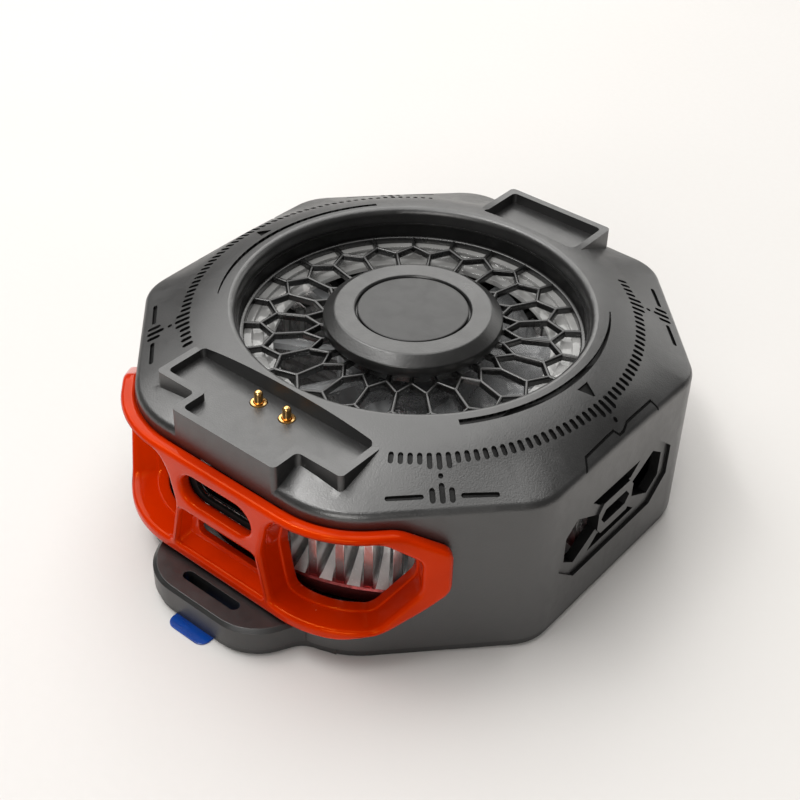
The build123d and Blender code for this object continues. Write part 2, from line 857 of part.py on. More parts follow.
    # Pilot holes of the posts
    with BuildSketch(Plane.XY.offset(base_top_z)):
        with Locations(*corner_places(post_circle_radius)):
            Circle(cover_screw_radius + seat_gap)
    extrude(amount=cover_screw_length, mode=Mode.SUBTRACT)
    with BuildSketch(Plane.XY.offset(board_top_z)):
        with Locations(*board_posts):
            Circle(board_screw_radius + seat_gap)
    extrude(amount=board_screw_length, mode=Mode.SUBTRACT)
save(top_cover, "top_cover")

# Orange bezel: a proud band round the front with its body inside the cover's opening
with BuildPart() as orange_bezel:
    with BuildSketch(Plane.XY.offset(bezel_bottom_z)):
        add(body_outline(bezel_proud))
        add(body_outline(), mode=Mode.SUBTRACT)
    extrude(amount=bezel_top_z - bezel_bottom_z)
    add(bezel_silhouette(), mode=Mode.INTERSECT)
    with BuildPart(mode=Mode.PRIVATE) as bezel_core:
        with BuildSketch(Plane.XY):
            add(body_outline(overrun / 2))
            Circle(bezel_inner_radius, mode=Mode.SUBTRACT)
        extrude(amount=bezel_top_z)
        add(bezel_opening(0), mode=Mode.INTERSECT)
    add(bezel_core.part)
    add(side_windows(), mode=Mode.SUBTRACT)
    # Slot of the socket
    with BuildSketch(front_plane.offset(bezel_proud + overrun)):
        with Locations((0, socket_z)):
            SlotOverall(socket_slot_width, socket_slot_height)
    slot_depth = bezel_proud + overrun + wall + body_half_length - bezel_inner_radius
    extrude(amount=-slot_depth, mode=Mode.SUBTRACT)
    # Lower window, which narrows inwards to a slot
    with BuildSketch(front_plane.offset(bezel_proud + seat_gap)):
        add(outline(mirrored([
            (lower_window_bottom_half_width, lower_window_bottom_z),
            (lower_window_top_half_width, lower_window_top_z),
        ])))
    with BuildSketch(front_plane.offset(bezel_inner_radius - body_half_length - overrun)):
        add(outline(mirrored([
            (lower_slot_half_width, lower_slot_bottom_z),
            (lower_slot_half_width, lower_slot_top_z),
        ])))
    loft(ruled=True, mode=Mode.SUBTRACT)
save(orange_bezel, "orange_bezel")

# Honeycomb web: long six-sided cells between a spoked rim and the hub
half_cell = 180 / cell_count
cap_pins = [polar(cap_pin_circle_radius, 360 * index / cap_pin_count) for index in range(cap_pin_count)]
rim_inner_radius = well_radius - seat_gap - grille_rim_width
with BuildPart() as intake_grille:
    with BuildSketch(Plane.XY.offset(shroud_top_z)):
        Circle(well_radius - seat_gap)
        for index in range(cell_count):
            spoke = first_spoke_angle + 2 * half_cell * index
            long_cell = [
                polar(cell_tip_radius, spoke),
                polar(cell_outer_shoulder_radius, spoke + half_cell),
                polar(cell_inner_shoulder_radius, spoke + half_cell),
                polar(cell_root_radius, spoke),
                polar(cell_inner_shoulder_radius, spoke - half_cell),
                polar(cell_outer_shoulder_radius, spoke - half_cell),
            ]
            rim_cell = [
                polar(rim_inner_radius, spoke),
                polar(cell_tip_radius, spoke),
                polar(cell_outer_shoulder_radius, spoke + half_cell),
                polar(cell_tip_radius, spoke + 2 * half_cell),
                polar(rim_inner_radius, spoke + 2 * half_cell),
            ]
            hub_cell = [
                polar(grille_hub_radius, spoke),
                polar(cell_root_radius, spoke),
                polar(cell_inner_shoulder_radius, spoke + half_cell),
                polar(cell_root_radius, spoke + 2 * half_cell),
                polar(grille_hub_radius, spoke + 2 * half_cell),
            ]
            for cell in (long_cell, rim_cell, hub_cell):
                add(outline(cell, -rib_width / 2), mode=Mode.SUBTRACT)
        with Locations(*cap_pins):
            Circle(cap_pin_radius + seat_gap, mode=Mode.SUBTRACT)
    extrude(amount=grille_thickness)
save(intake_grille, "intake_grille")

# Cap over the hub of the web, with pins that press into it
with BuildPart() as hub_cap:
    with BuildSketch(Plane.XZ):
        with BuildLine():
            Polyline(
                (0, grille_top_z),
                (cap_foot_radius, grille_top_z),
                (cap_foot_radius, grille_top_z + cap_foot_height),
                (cap_radius, grille_top_z + cap_foot_height),
                (cap_radius, grille_top_z + cap_foot_height + cap_side_height),
                (cap_top_radius, cap_top_z),
                (cap_disc_radius, cap_top_z),
                (cap_disc_radius, cap_top_z - cap_disc_depth),
                (0, cap_top_z - cap_disc_depth),
                close=True,
            )
        make_face()
    revolve(axis=Axis.Z)
    with BuildSketch(Plane.XY.offset(shroud_top_z)):
        with Locations(*cap_pins):
            Circle(cap_pin_radius)
    extrude(amount=grille_thickness)
save(hub_cap, "hub_cap")

with BuildPart() as hub_disc:
    with BuildSketch(Plane.XY.offset(cap_top_z - cap_disc_depth)):
        Circle(cap_disc_radius - slip_gap)
    extrude(amount=cap_disc_depth - cap_disc_sink)
save(hub_disc, "hub_disc")

# Clear ring that guides the air into the fan, stepped like stairs
with BuildPart() as fan_shroud:
    with BuildSketch(Plane.XZ):
        with BuildLine():
            Polyline(
                (well_radius - seat_gap, shroud_bottom_z),
                (well_radius - seat_gap, shroud_top_z),
                (shroud_radii[0], shroud_top_z),
                (shroud_radii[0], shroud_top_z - shroud_step),
                (shroud_radii[1], shroud_top_z - shroud_step),
                (shroud_radii[1], shroud_top_z - 2 * shroud_step),
                (shroud_radii[2], shroud_top_z - 2 * shroud_step),
                (shroud_radii[2], shroud_bottom_z),
                close=True,
            )
        make_face()
    revolve(axis=Axis.Z)
save(fan_shroud, "fan_shroud")

# Impeller: a cup with pitched, cambered blades
with BuildPart() as fan_impeller:
    with BuildSketch(Plane.XY.offset(fan_hub_bottom_z)):
        Circle(fan_hub_radius)
    extrude(amount=fan_hub_top_z - fan_hub_bottom_z)
    fillet(fan_impeller.faces().sort_by(Axis.Z)[-1].edges(), fan_hub_edge_round)
    with BuildPart(mode=Mode.PRIVATE) as blade:
        add(blade_solid())
    with PolarLocations(0, blade_count):
        add(blade.part)
    with BuildSketch(Plane.XY.offset(fan_hub_bottom_z)):
        Circle(yoke_outer_radius)
    extrude(amount=yoke_top_z - fan_hub_bottom_z, mode=Mode.SUBTRACT)
    with BuildSketch(Plane.XY.offset(yoke_top_z)):
        Circle(shaft_radius)
    extrude(amount=fan_hub_top_z - fan_hub_wall - yoke_top_z, mode=Mode.SUBTRACT)
save(fan_impeller, "fan_impeller")

# Steel cup in the impeller, with the ring magnet and the shaft
with BuildPart() as rotor_yoke:
    with BuildSketch(Plane.XY.offset(yoke_bottom_z)):
        Circle(yoke_outer_radius)
    extrude(amount=yoke_top_z - yoke_bottom_z)
    with BuildSketch(Plane.XY.offset(yoke_bottom_z)):
        Circle(yoke_inner_radius)
    extrude(amount=yoke_top_z - yoke_thickness - yoke_bottom_z, mode=Mode.SUBTRACT)
    with BuildSketch(Plane.XY.offset(yoke_top_z - yoke_thickness)):
        Circle(shaft_radius)
    extrude(amount=yoke_thickness, mode=Mode.SUBTRACT)
save(rotor_yoke, "rotor_yoke")

with BuildPart() as rotor_magnet:
    add(ring(yoke_inner_radius, rotor_magnet_inner_radius, yoke_bottom_z, rotor_magnet_top_z))
save(rotor_magnet, "rotor_magnet")

with BuildPart() as fan_shaft:
    add(ring(shaft_radius, 0, shaft_bottom_z, fan_hub_top_z - fan_hub_wall))
    with BuildSketch(Plane.XY.offset(bush_bottom_z - clip_thickness - slip_gap - running_gap)):
        Circle(shaft_radius)
        Circle(shaft_radius - clip_groove_depth, mode=Mode.SUBTRACT)
    extrude(amount=clip_thickness, mode=Mode.SUBTRACT)
save(fan_shaft, "fan_shaft")

with BuildPart() as shaft_clip:
    clip_bottom_z = bush_bottom_z - clip_thickness - slip_gap - running_gap
    add(ring(clip_radius, shaft_radius - clip_groove_depth, clip_bottom_z, clip_bottom_z + clip_thickness))
save(shaft_clip, "shaft_clip")

# Bracket that stands on the heat sink and holds the bush and the stator
with BuildPart() as fan_bracket:
    with BuildSketch(Plane.XY.offset(sink_top_z)):
        Circle(bracket_foot_radius)
    extrude(amount=bracket_foot_thickness)
    with BuildSketch(Plane.XY.offset(sink_top_z)):
        Circle(tube_outer_radius)
    extrude(amount=tube_top_z - sink_top_z)
    with BuildSketch(Plane.XY.offset(sink_top_z)):
        with PolarLocations(
            bracket_pillar_circle_radius,
            bracket_pillar_count,
            start_angle=bracket_pillar_angle,
        ):
            Circle(bracket_pillar_radius)
    extrude(amount=motor_board_bottom_z - sink_top_z)
    with BuildSketch(Plane.XY.offset(sink_top_z + bracket_foot_thickness / 2)):
        Circle(bush_outer_radius)
    extrude(amount=tube_top_z - sink_top_z, mode=Mode.SUBTRACT)
save(fan_bracket, "fan_bracket")

with BuildPart() as bearing_sleeve:
    add(ring(bush_outer_radius, shaft_radius + running_gap, bush_bottom_z, bush_top_z))
save(bearing_sleeve, "bearing_sleeve")

# Stator of six poles with a coil on each
with BuildPart() as stator_core:
    with BuildSketch(Plane.XY.offset(stator_bottom_z)):
        Circle(stator_radius)
        Circle(stator_radius - pole_shoe_thickness, mode=Mode.SUBTRACT)
        with PolarLocations(stator_radius, pole_count, start_angle=180 / pole_count):
            Rectangle(2 * pole_shoe_thickness + overrun, pole_gap, mode=Mode.SUBTRACT)
        Circle(stator_hub_radius)
        with PolarLocations((stator_hub_radius + stator_radius - pole_shoe_thickness) / 2, pole_count):
            Rectangle(stator_radius - stator_hub_radius, pole_width)
        Circle(tube_outer_radius, mode=Mode.SUBTRACT)
    extrude(amount=stator_height)
save(stator_core, "stator_core")

coil_inner_radius = stator_hub_radius + coil_inset
coil_outer_radius = stator_radius - pole_shoe_thickness - coil_inset
with BuildPart() as stator_coils:
    with BuildSketch(Plane.XY.offset(stator_bottom_z - coil_thickness)):
        with PolarLocations((coil_inner_radius + coil_outer_radius) / 2, pole_count):
            Rectangle(coil_outer_radius - coil_inner_radius, pole_width + 2 * coil_thickness)
    extrude(amount=stator_height + 2 * coil_thickness)
    with BuildSketch(Plane.XY.offset(stator_bottom_z)):
        with PolarLocations((coil_inner_radius + coil_outer_radius) / 2, pole_count):
            Rectangle(coil_outer_radius - coil_inner_radius + overrun, pole_width)
    extrude(amount=stator_height, mode=Mode.SUBTRACT)
save(stator_coils, "stator_coils")

with BuildPart() as motor_board:
    add(ring(
        motor_board_radius,
        tube_outer_radius + seat_gap,
        motor_board_bottom_z,
        motor_board_bottom_z + motor_board_thickness,
    ))
save(motor_board, "motor_board")

# Heat sink: round plate, long fins with upright ends and cast fins with slanting ends between them
with BuildPart() as heat_sink:
    with BuildSketch(Plane.XY.offset(sink_bottom_z)):
        Circle(sink_radius)
    extrude(amount=sink_thickness)
    with BuildPart(mode=Mode.PRIVATE) as long_fin:
        with BuildSketch(Plane.XZ.offset(-fin_width / 2)):
            with BuildLine():
                Polyline(
                    (low_fin_inner_radius, sink_top_z),
                    (fin_outer_radius, sink_top_z),
                    (fin_outer_radius, fin_top_z),
                    (fin_inner_radius, fin_top_z),
                    (fin_inner_radius, sink_top_z + low_fin_height),
                    (low_fin_inner_radius, sink_top_z + low_fin_height),
                    close=True,
                )
            make_face()
        extrude(amount=fin_width)
    with BuildPart(mode=Mode.PRIVATE) as slant_fin:
        with BuildSketch(Plane.XY.offset(sink_top_z)):
            with Locations(((fin_inner_radius + fin_outer_radius) / 2, 0)):
                Rectangle(fin_outer_radius - fin_inner_radius, slant_fin_foot_width)
        with BuildSketch(Plane.XY.offset(fin_top_z)):
            with Locations(((fin_inner_radius + slant_fin_head_radius) / 2, 0)):
                Rectangle(slant_fin_head_radius - fin_inner_radius, slant_fin_head_width)
        loft(ruled=True)
    with PolarLocations(0, fin_pair_count):
        add(long_fin.part)
    with PolarLocations(0, fin_pair_count, start_angle=180 / fin_pair_count):
        add(slant_fin.part)
    with BuildSketch(Plane.XY.offset(sink_bottom_z)):
        with PolarLocations(sink_boss_circle_radius, sink_screw_count, start_angle=boss_angle):
            Circle(sink_screw_radius + seat_gap)
    extrude(amount=sink_thickness, mode=Mode.SUBTRACT)
    with BuildSketch(Plane.XY.offset(sink_top_z)):
        with PolarLocations(sink_boss_circle_radius, sink_screw_count, start_angle=boss_angle):
            Circle(sink_screw_clearance_radius)
    extrude(amount=fin_top_z - sink_top_z, mode=Mode.SUBTRACT)
save(heat_sink, "heat_sink")

with BuildPart() as heat_sink_screws:
    with BuildSketch(Plane.XY.offset(sink_top_z - sink_screw_length)):
        with PolarLocations(sink_boss_circle_radius, sink_screw_count, start_angle=boss_angle):
            Circle(sink_screw_radius)
    extrude(amount=sink_screw_length)
    with BuildSketch(Plane.XY.offset(sink_top_z)):
        with PolarLocations(sink_boss_circle_radius, sink_screw_count, start_angle=boss_angle):
            Circle(sink_screw_head_radius)
    extrude(amount=sink_screw_head_height)
save(heat_sink_screws, "heat_sink_screws")

# Cooling module between the heat sink and the metal face
with BuildPart() as peltier_hot_plate:
    with BuildSketch(Plane.XY.offset(hot_ceramic_bottom_z)):
        Rectangle(peltier_size, peltier_size)
    extrude(amount=ceramic_thickness)
save(peltier_hot_plate, "peltier_hot_plate")

with BuildPart() as peltier_pellets:
    with BuildSketch(Plane.XY.offset(cold_ceramic_top_z)):
        with GridLocations(pellet_spacing, pellet_spacing, pellet_count, pellet_count):
            Rectangle(pellet_size, pellet_size)
    extrude(amount=hot_ceramic_bottom_z - cold_ceramic_top_z)
save(peltier_pellets, "peltier_pellets")

with BuildPart() as peltier_cold_plate:
    with BuildSketch(Plane.XY.offset(cold_plate_top_z)):
        Rectangle(peltier_size, peltier_size)
    extrude(amount=ceramic_thickness)
save(peltier_cold_plate, "peltier_cold_plate")

with BuildPart() as peltier_gasket:
    with BuildSketch(Plane.XY.offset(cold_plate_top_z)):
        Rectangle(peltier_size + 2 * gasket_width, peltier_size + 2 * gasket_width)
        Rectangle(peltier_size + 2 * seat_gap, peltier_size + 2 * seat_gap, mode=Mode.SUBTRACT)
    extrude(amount=sink_bottom_z - cold_plate_top_z)
save(peltier_gasket, "peltier_gasket")

with BuildPart() as cold_plate:
    add(ring(cold_plate_radius, 0, base_bottom_z, cold_plate_top_z))
save(cold_plate, "cold_plate")

with BuildPart() as magnet_ring:
    add(ring(magnet_outer_radius, magnet_inner_radius, base_top_z, base_top_z + magnet_thickness))
save(magnet_ring, "magnet_ring")

with BuildPart() as magnet_shield:
    shield_bottom_z = base_top_z + magnet_thickness
    add(ring(magnet_outer_radius, magnet_inner_radius, shield_bottom_z, shield_bottom_z + shield_thickness))
save(magnet_shield, "magnet_shield")

# Base with the slotted tab at the front
with BuildPart() as base_cover:
    with BuildSketch(Plane.XY.offset(base_bottom_z)):
        add(body_outline(-base_inset))
        add(tab_outline(-base_inset))
    extrude(amount=base_thickness)
    with BuildSketch(Plane.XY.offset(base_top_z)):
        add(tab_outline())
    extrude(amount=tab_top_z - tab_edge_round - base_top_z)
    with BuildSketch(Plane.XY.offset(tab_top_z - tab_edge_round)):
        add(tab_outline())
    with BuildSketch(Plane.XY.offset(tab_top_z)):
        add(tab_outline(-tab_edge_round))
    loft(ruled=True)
    with BuildSketch(Plane.XY.offset(base_top_z)):
        add(body_outline(seat_gap))
    extrude(amount=tab_top_z - base_top_z, mode=Mode.SUBTRACT)
    with BuildSketch(Plane.XY.offset(base_top_z)):
        with PolarLocations(sink_boss_circle_radius, sink_screw_count, start_angle=boss_angle):
            Circle(sink_boss_radius)
    extrude(amount=sink_bottom_z - base_top_z)
    with BuildSketch(Plane.XY.offset(sink_bottom_z)):
        with PolarLocations(sink_boss_circle_radius, sink_screw_count, start_angle=boss_angle):
            Circle(sink_screw_radius + seat_gap)
    extrude(amount=-(sink_bottom_z - base_top_z), mode=Mode.SUBTRACT)
    with BuildSketch(Plane.XY.offset(base_bottom_z)):
        Circle(cold_plate_radius + seat_gap)
        with Locations((0, tab_slot_y)):
            SlotOverall(tab_slot_length, tab_slot_width)
        with Locations(*corner_places(post_circle_radius)):
            Circle(cover_screw_radius + seat_gap)
    extrude(amount=tab_top_z - base_bottom_z, mode=Mode.SUBTRACT)
    with BuildSketch(Plane.XY.offset(base_bottom_z)):
        Circle(pad_outer_radius + seat_gap)
    extrude(amount=pad_thickness, mode=Mode.SUBTRACT)
    with BuildSketch(Plane.XY.offset(base_bottom_z)):
        with Locations(*corner_places(post_circle_radius)):
            Circle(cover_screw_head_radius + seat_gap)
    extrude(amount=cover_screw_head_height, mode=Mode.SUBTRACT)
save(base_cover, "base_cover")

with BuildPart() as cover_screws:
    with BuildSketch(Plane.XY.offset(base_bottom_z)):
        with Locations(*corner_places(post_circle_radius)):
            Circle(cover_screw_head_radius)
    extrude(amount=cover_screw_head_height)
    with BuildSketch(Plane.XY.offset(base_bottom_z + cover_screw_head_height)):
        with Locations(*corner_places(post_circle_radius)):
            Circle(cover_screw_radius)
    extrude(amount=cover_screw_length - cover_screw_head_height)
save(cover_screws, "cover_screws")

with BuildPart() as contact_pad:
    add(ring(pad_outer_radius, cold_plate_radius + 2 * seat_gap, base_bottom_z, pad_top_z))
save(contact_pad, "contact_pad")

# Protective film over the cooling face, with its pull tab under the front tab
with BuildPart() as protective_film:
    with BuildSketch():
        Circle(pad_outer_radius)
        with Locations((film_tab_x, (film_tab_end_y + film_tab_root_y) / 2)):
            RectangleRounded(film_tab_width, film_tab_root_y - film_tab_end_y, film_tab_round)
    extrude(amount=film_thickness)
save(protective_film, "protective_film")

# Electronics under the front dock
with BuildPart() as main_board:
    with BuildSketch(Plane.XY.offset(board_bottom_z)):
        add(outline(mirrored([
            (board_nose_half_width, board_front_y),
            (board_nose_half_width, board_shoulder_y),
            (board_half_width, board_shoulder_y),
            (board_half_width, board_back_y),
        ])))
        with Locations(*board_posts):
            Circle(board_screw_radius + seat_gap, mode=Mode.SUBTRACT)
    extrude(amount=board_thickness)
save(main_board, "main_board")

with BuildPart() as board_screws:
    with BuildSketch(Plane.XY.offset(board_bottom_z)):
        with Locations(*board_posts):
            Circle(board_screw_radius)
    extrude(amount=board_screw_length)
    with BuildSketch(Plane.XY.offset(board_bottom_z)):
        with Locations(*board_posts):
            Circle(board_screw_head_radius)
    extrude(amount=-board_screw_head_height)
save(board_screws, "board_screws")

with BuildPart() as board_chips:
    with BuildSketch(Plane.XY.offset(board_top_z)):
        with Locations((-chip_x, chip_y), (chip_x, chip_y)):
            Rectangle(chip_size, chip_size)
    extrude(amount=chip_height)
save(board_chips, "board_chips")

socket_plane = Plane(origin=(0, socket_front_y, socket_z), x_dir=(1, 0, 0), z_dir=(0, 1, 0))
with BuildPart() as usb_shell:
    with BuildSketch(socket_plane):
        SlotOverall(socket_shell_width, socket_shell_height)
    extrude(amount=socket_shell_length)
    with BuildSketch(socket_plane):
        SlotOverall(socket_shell_width - 2 * socket_shell_wall, socket_shell_height - 2 * socket_shell_wall)
    extrude(amount=socket_shell_length - socket_shell_wall, mode=Mode.SUBTRACT)
save(usb_shell, "usb_shell")

with BuildPart() as usb_tongue:
    with BuildSketch(socket_plane.offset(tongue_setback)):
        Rectangle(tongue_width, tongue_thickness)
    extrude(amount=socket_shell_length - socket_shell_wall - tongue_setback)
save(usb_tongue, "usb_tongue")

# Sprung contacts: block, barrels, springs and pins
with BuildPart() as pogo_housing:
    with BuildSketch(Plane.XY.offset(pogo_block_bottom_z)):
        with Locations((0, (pogo_block_front_y + pogo_block_back_y) / 2)):
            Rectangle(2 * pogo_block_half_width, pogo_block_back_y - pogo_block_front_y)
        with Locations(*pogo_places):
            Circle(pogo_barrel_radius + seat_gap, mode=Mode.SUBTRACT)
    extrude(amount=pogo_block_height)
save(pogo_housing, "pogo_housing")

with BuildPart() as pogo_barrels:
    with BuildSketch(Plane.XY.offset(pogo_block_bottom_z)):
        with Locations(*pogo_places):
            Circle(pogo_barrel_radius)
    extrude(amount=pogo_ring_top_z - pogo_block_bottom_z)
    with BuildSketch(Plane.XY.offset(pogo_ring_top_z)):
        with Locations(*pogo_places):
            Circle(pogo_ring_radius)
    extrude(amount=-pogo_collar_depth)
    with BuildSketch(Plane.XY.offset(pogo_bore_bottom_z)):
        with Locations(*pogo_places):
            Circle(pogo_bore_radius)
    bore_height = pogo_pin_bottom_z + pogo_skirt_height + running_gap - pogo_bore_bottom_z
    extrude(amount=bore_height, mode=Mode.SUBTRACT)
    with BuildSketch(Plane.XY.offset(pogo_ring_top_z)):
        with Locations(*pogo_places):
            Circle(pogo_mouth_radius)
    extrude(amount=pogo_pin_bottom_z - pogo_ring_top_z, mode=Mode.SUBTRACT)
save(pogo_barrels, "pogo_barrels")

for name, place in (("pogo_pin_left", pogo_places[0]), ("pogo_pin_right", pogo_places[1])):
    with BuildPart() as pogo_pin:
        with BuildSketch(Plane.XY.offset(pogo_pin_bottom_z)):
            with Locations(place):
                Circle(pogo_pin_radius)
        extrude(amount=pogo_pin_top_z - pogo_pin_bottom_z)
        fillet(pogo_pin.faces().sort_by(Axis.Z)[-1].edges(), pogo_pin_radius * pin_tip_share)
        with BuildSketch(Plane.XY.offset(pogo_pin_bottom_z)):
            with Locations(place):
                Circle(pogo_skirt_radius)
        extrude(amount=pogo_skirt_height)
    save(pogo_pin, name)

for name, place in (("pogo_spring_left", pogo_places[0]), ("pogo_spring_right", pogo_places[1])):
    with BuildPart() as pogo_spring:
        with BuildSketch(Plane.XY.offset(pogo_bore_bottom_z)):
            with Locations(place):
                Circle(pogo_spring_radius)
                Circle(pogo_spring_radius - pogo_spring_wall, mode=Mode.SUBTRACT)
        extrude(amount=pogo_spring_height)
    save(pogo_spring, name)
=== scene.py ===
import json
import logging
import math
from dataclasses import dataclass, field
from enum import Enum
from typing import Callable, Dict, Iterable, List, Optional, Sequence, Tuple, Union

import bmesh
import bpy
from mathutils import Matrix, Vector
from mathutils.bvhtree import BVHTree
from mathutils.geometry import barycentric_transform


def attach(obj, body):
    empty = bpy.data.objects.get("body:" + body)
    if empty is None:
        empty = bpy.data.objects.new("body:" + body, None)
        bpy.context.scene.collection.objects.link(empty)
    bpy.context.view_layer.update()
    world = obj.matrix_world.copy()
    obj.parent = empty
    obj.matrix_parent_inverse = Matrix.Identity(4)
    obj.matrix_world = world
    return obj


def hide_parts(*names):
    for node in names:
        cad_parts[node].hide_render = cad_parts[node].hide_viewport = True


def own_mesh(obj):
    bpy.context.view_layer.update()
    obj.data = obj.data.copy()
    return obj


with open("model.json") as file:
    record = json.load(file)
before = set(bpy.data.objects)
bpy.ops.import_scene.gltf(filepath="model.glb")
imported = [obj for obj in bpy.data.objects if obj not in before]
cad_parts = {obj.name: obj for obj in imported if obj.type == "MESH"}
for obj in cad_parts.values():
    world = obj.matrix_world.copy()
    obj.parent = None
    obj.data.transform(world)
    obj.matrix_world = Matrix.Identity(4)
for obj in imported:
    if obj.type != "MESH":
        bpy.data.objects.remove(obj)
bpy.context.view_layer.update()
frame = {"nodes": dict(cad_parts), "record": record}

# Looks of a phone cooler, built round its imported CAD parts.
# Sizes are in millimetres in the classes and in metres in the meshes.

MM = 0.001
LOG = logging.getLogger("phone_cooler")

Point = Tuple[float, float, float]
Flat = Tuple[float, float]
Colour = Tuple[float, float, float]


class Body(Enum):
    """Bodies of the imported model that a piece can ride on."""

    HOUSING = "housing"
    ROTOR = "rotor"
    LEFT_CONTACT = "left_contact"
    RIGHT_CONTACT = "right_contact"


class Edge(Enum):
    """How far a piece's edges are rounded, in millimetres."""

    SHARP = 0.0
    CRISP = 0.06
    SOFT = 0.15


# Shader trees


class Signal:
    """A shader socket that takes part in sums written as Python expressions."""

    def __init__(self, recipe: "Recipe", socket: bpy.types.NodeSocket) -> None:
        """Keep the tree and the socket."""
        self.recipe = recipe
        self.socket = socket

    def _math(self, operation: str, other: "Operand" = 0.0) -> "Signal":
        """Math node on this value and another one."""
        return self.recipe.node("ShaderNodeMath", {"operation": operation}, {0: self, 1: other})

    def __add__(self, other: "Operand") -> "Signal":
        """Sum."""
        return self._math("ADD", other)

    def __mul__(self, other: "Operand") -> "Signal":
        """Product."""
        return self._math("MULTIPLY", other)

    def __lt__(self, other: "Operand") -> "Signal":
        """1 where this is less than the other, else 0."""
        return self._math("LESS_THAN", other)

    def __gt__(self, other: "Operand") -> "Signal":
        """1 where this is more than the other, the reflected form of the one above."""
        return self._math("GREATER_THAN", other)

    __radd__ = __add__
    __rmul__ = __mul__

    def sine(self) -> "Signal":
        """Sine of the value in radians."""
        return self._math("SINE")

    def remap(self, low: float, high: float, to_low: float = 0.0, to_high: float = 1.0) -> "Signal":
        """Value moved smoothly from one span to another and clamped."""
        inputs = {"Value": self, "From Min": low, "From Max": high, "To Min": to_low, "To Max": to_high}
        return self.recipe.node("ShaderNodeMapRange", {"interpolation_type": "SMOOTHSTEP"}, inputs)


Operand = Union[Signal, float, int]


class Recipe:
    """The node tree of one material."""

    def __init__(self, name: str) -> None:
        """Start an empty material.

        Args:
            name: Name of the material.
        """
        self.material = bpy.data.materials.new(name)
        self.material.use_nodes = True
        self.tree = self.material.node_tree
        self.tree.nodes.clear()

    def node(
        self,
        kind: str,
        settings: Optional[Dict[str, object]] = None,
        inputs: Optional[Dict[Union[int, str], object]] = None,
        output: Union[int, str] = 0,
    ) -> Signal:
        """Add any node.

        Args:
            kind: The node's type.
            settings: Attributes of the node, set first.
            inputs: Values or signals of its sockets, by index or name.
            output: The socket to return.

        Returns:
            The chosen output.
        """
        made = self.tree.nodes.new(kind)
        for key, value in (settings or {}).items():
            setattr(made, key, value)
        for key, value in (inputs or {}).items():
            if isinstance(value, Signal):
                self.tree.links.new(value.socket, made.inputs[key])
            else:
                made.inputs[key].default_value = value
        return Signal(self, made.outputs[output])

    def place(self) -> Signal:
        """Object coordinates, in metres."""
        return self.node("ShaderNodeTexCoord", output="Object")

    def axis(self, name: str) -> Signal:
        """One of the object coordinates."""
        return self.node("ShaderNodeSeparateXYZ", {}, {0: self.place()}, name)

    def noise(self, size_mm: float, detail: float = 3.0, stretch: Point = (1.0, 1.0, 1.0)) -> Signal:
        """Noise with features of about a given size.

        Args:
            size_mm: Size of the features.
            detail: Octaves of finer noise in it.
            stretch: Scale of the noise along each axis.

        Returns:
            The noise, from 0 to 1.
        """
        mapped = self.node("ShaderNodeMapping", {}, {"Vector": self.place(), "Scale": stretch})
        inputs = {"Vector": mapped, "Scale": 1.0 / (size_mm * MM), "Detail": detail}
        return self.node("ShaderNodeTexNoise", {}, inputs)

    def specks(self, spacing_mm: float, size_share: float, keep: float) -> Signal:
        """Scattered round specks.

        Args:
            spacing_mm: Mean distance between the cells that may hold a speck.
            size_share: Radius of a speck against the spacing.
            keep: Share of the cells that hold one.

        Returns:
            1 on a speck, else 0.
        """
        settings = {"feature": "F1"}
        inputs = {"Vector": self.place(), "Scale": 1.0 / (spacing_mm * MM)}
        distance = self.node("ShaderNodeTexVoronoi", settings, inputs, "Distance")
        colour = self.node("ShaderNodeTexVoronoi", settings, inputs, "Color")
        chance = self.node("ShaderNodeSeparateColor", {}, {0: colour})
        return (distance < size_share) * (chance < keep)

    def blend(self, factor: Operand, first: object, second: object) -> Signal:
        """Mix of two colours."""
        solid = [colour if isinstance(colour, Signal) else (*colour, 1.0) for colour in (first, second)]
        return self.node("ShaderNodeMix", {"data_type": "RGBA"}, {0: factor, 6: solid[0], 7: solid[1]}, 2)

    def bump(self, height: Signal, depth_mm: float) -> Signal:
        """Normal from a height."""
        inputs = {"Height": height, "Distance": depth_mm * MM, "Strength": 1.0}
        return self.node("ShaderNodeBump", {}, inputs, "Normal")

    def surface(self, sockets: Dict[str, object]) -> Signal:
        """Principled shader with the sockets given.

        Args:
            sockets: Values or signals by socket name.

        Returns:
            The shader.
        """
        solid = {}
        for key, value in sockets.items():
            wide = key in ("Base Color", "Specular Tint") and not isinstance(value, Signal)
            solid[key] = (*value, 1.0) if wide else value
        return self.node("ShaderNodeBsdfPrincipled", {}, solid, "BSDF")

    def finish(self, shader: Signal) -> bpy.types.Material:
        """Connect the shader to the output.

        Args:
            shader: The final shader.

        Returns:
            The finished material.
        """
        made = self.tree.nodes.new("ShaderNodeOutputMaterial")
        self.tree.links.new(shader.socket, made.inputs["Surface"])
        return self.material


# Finishes


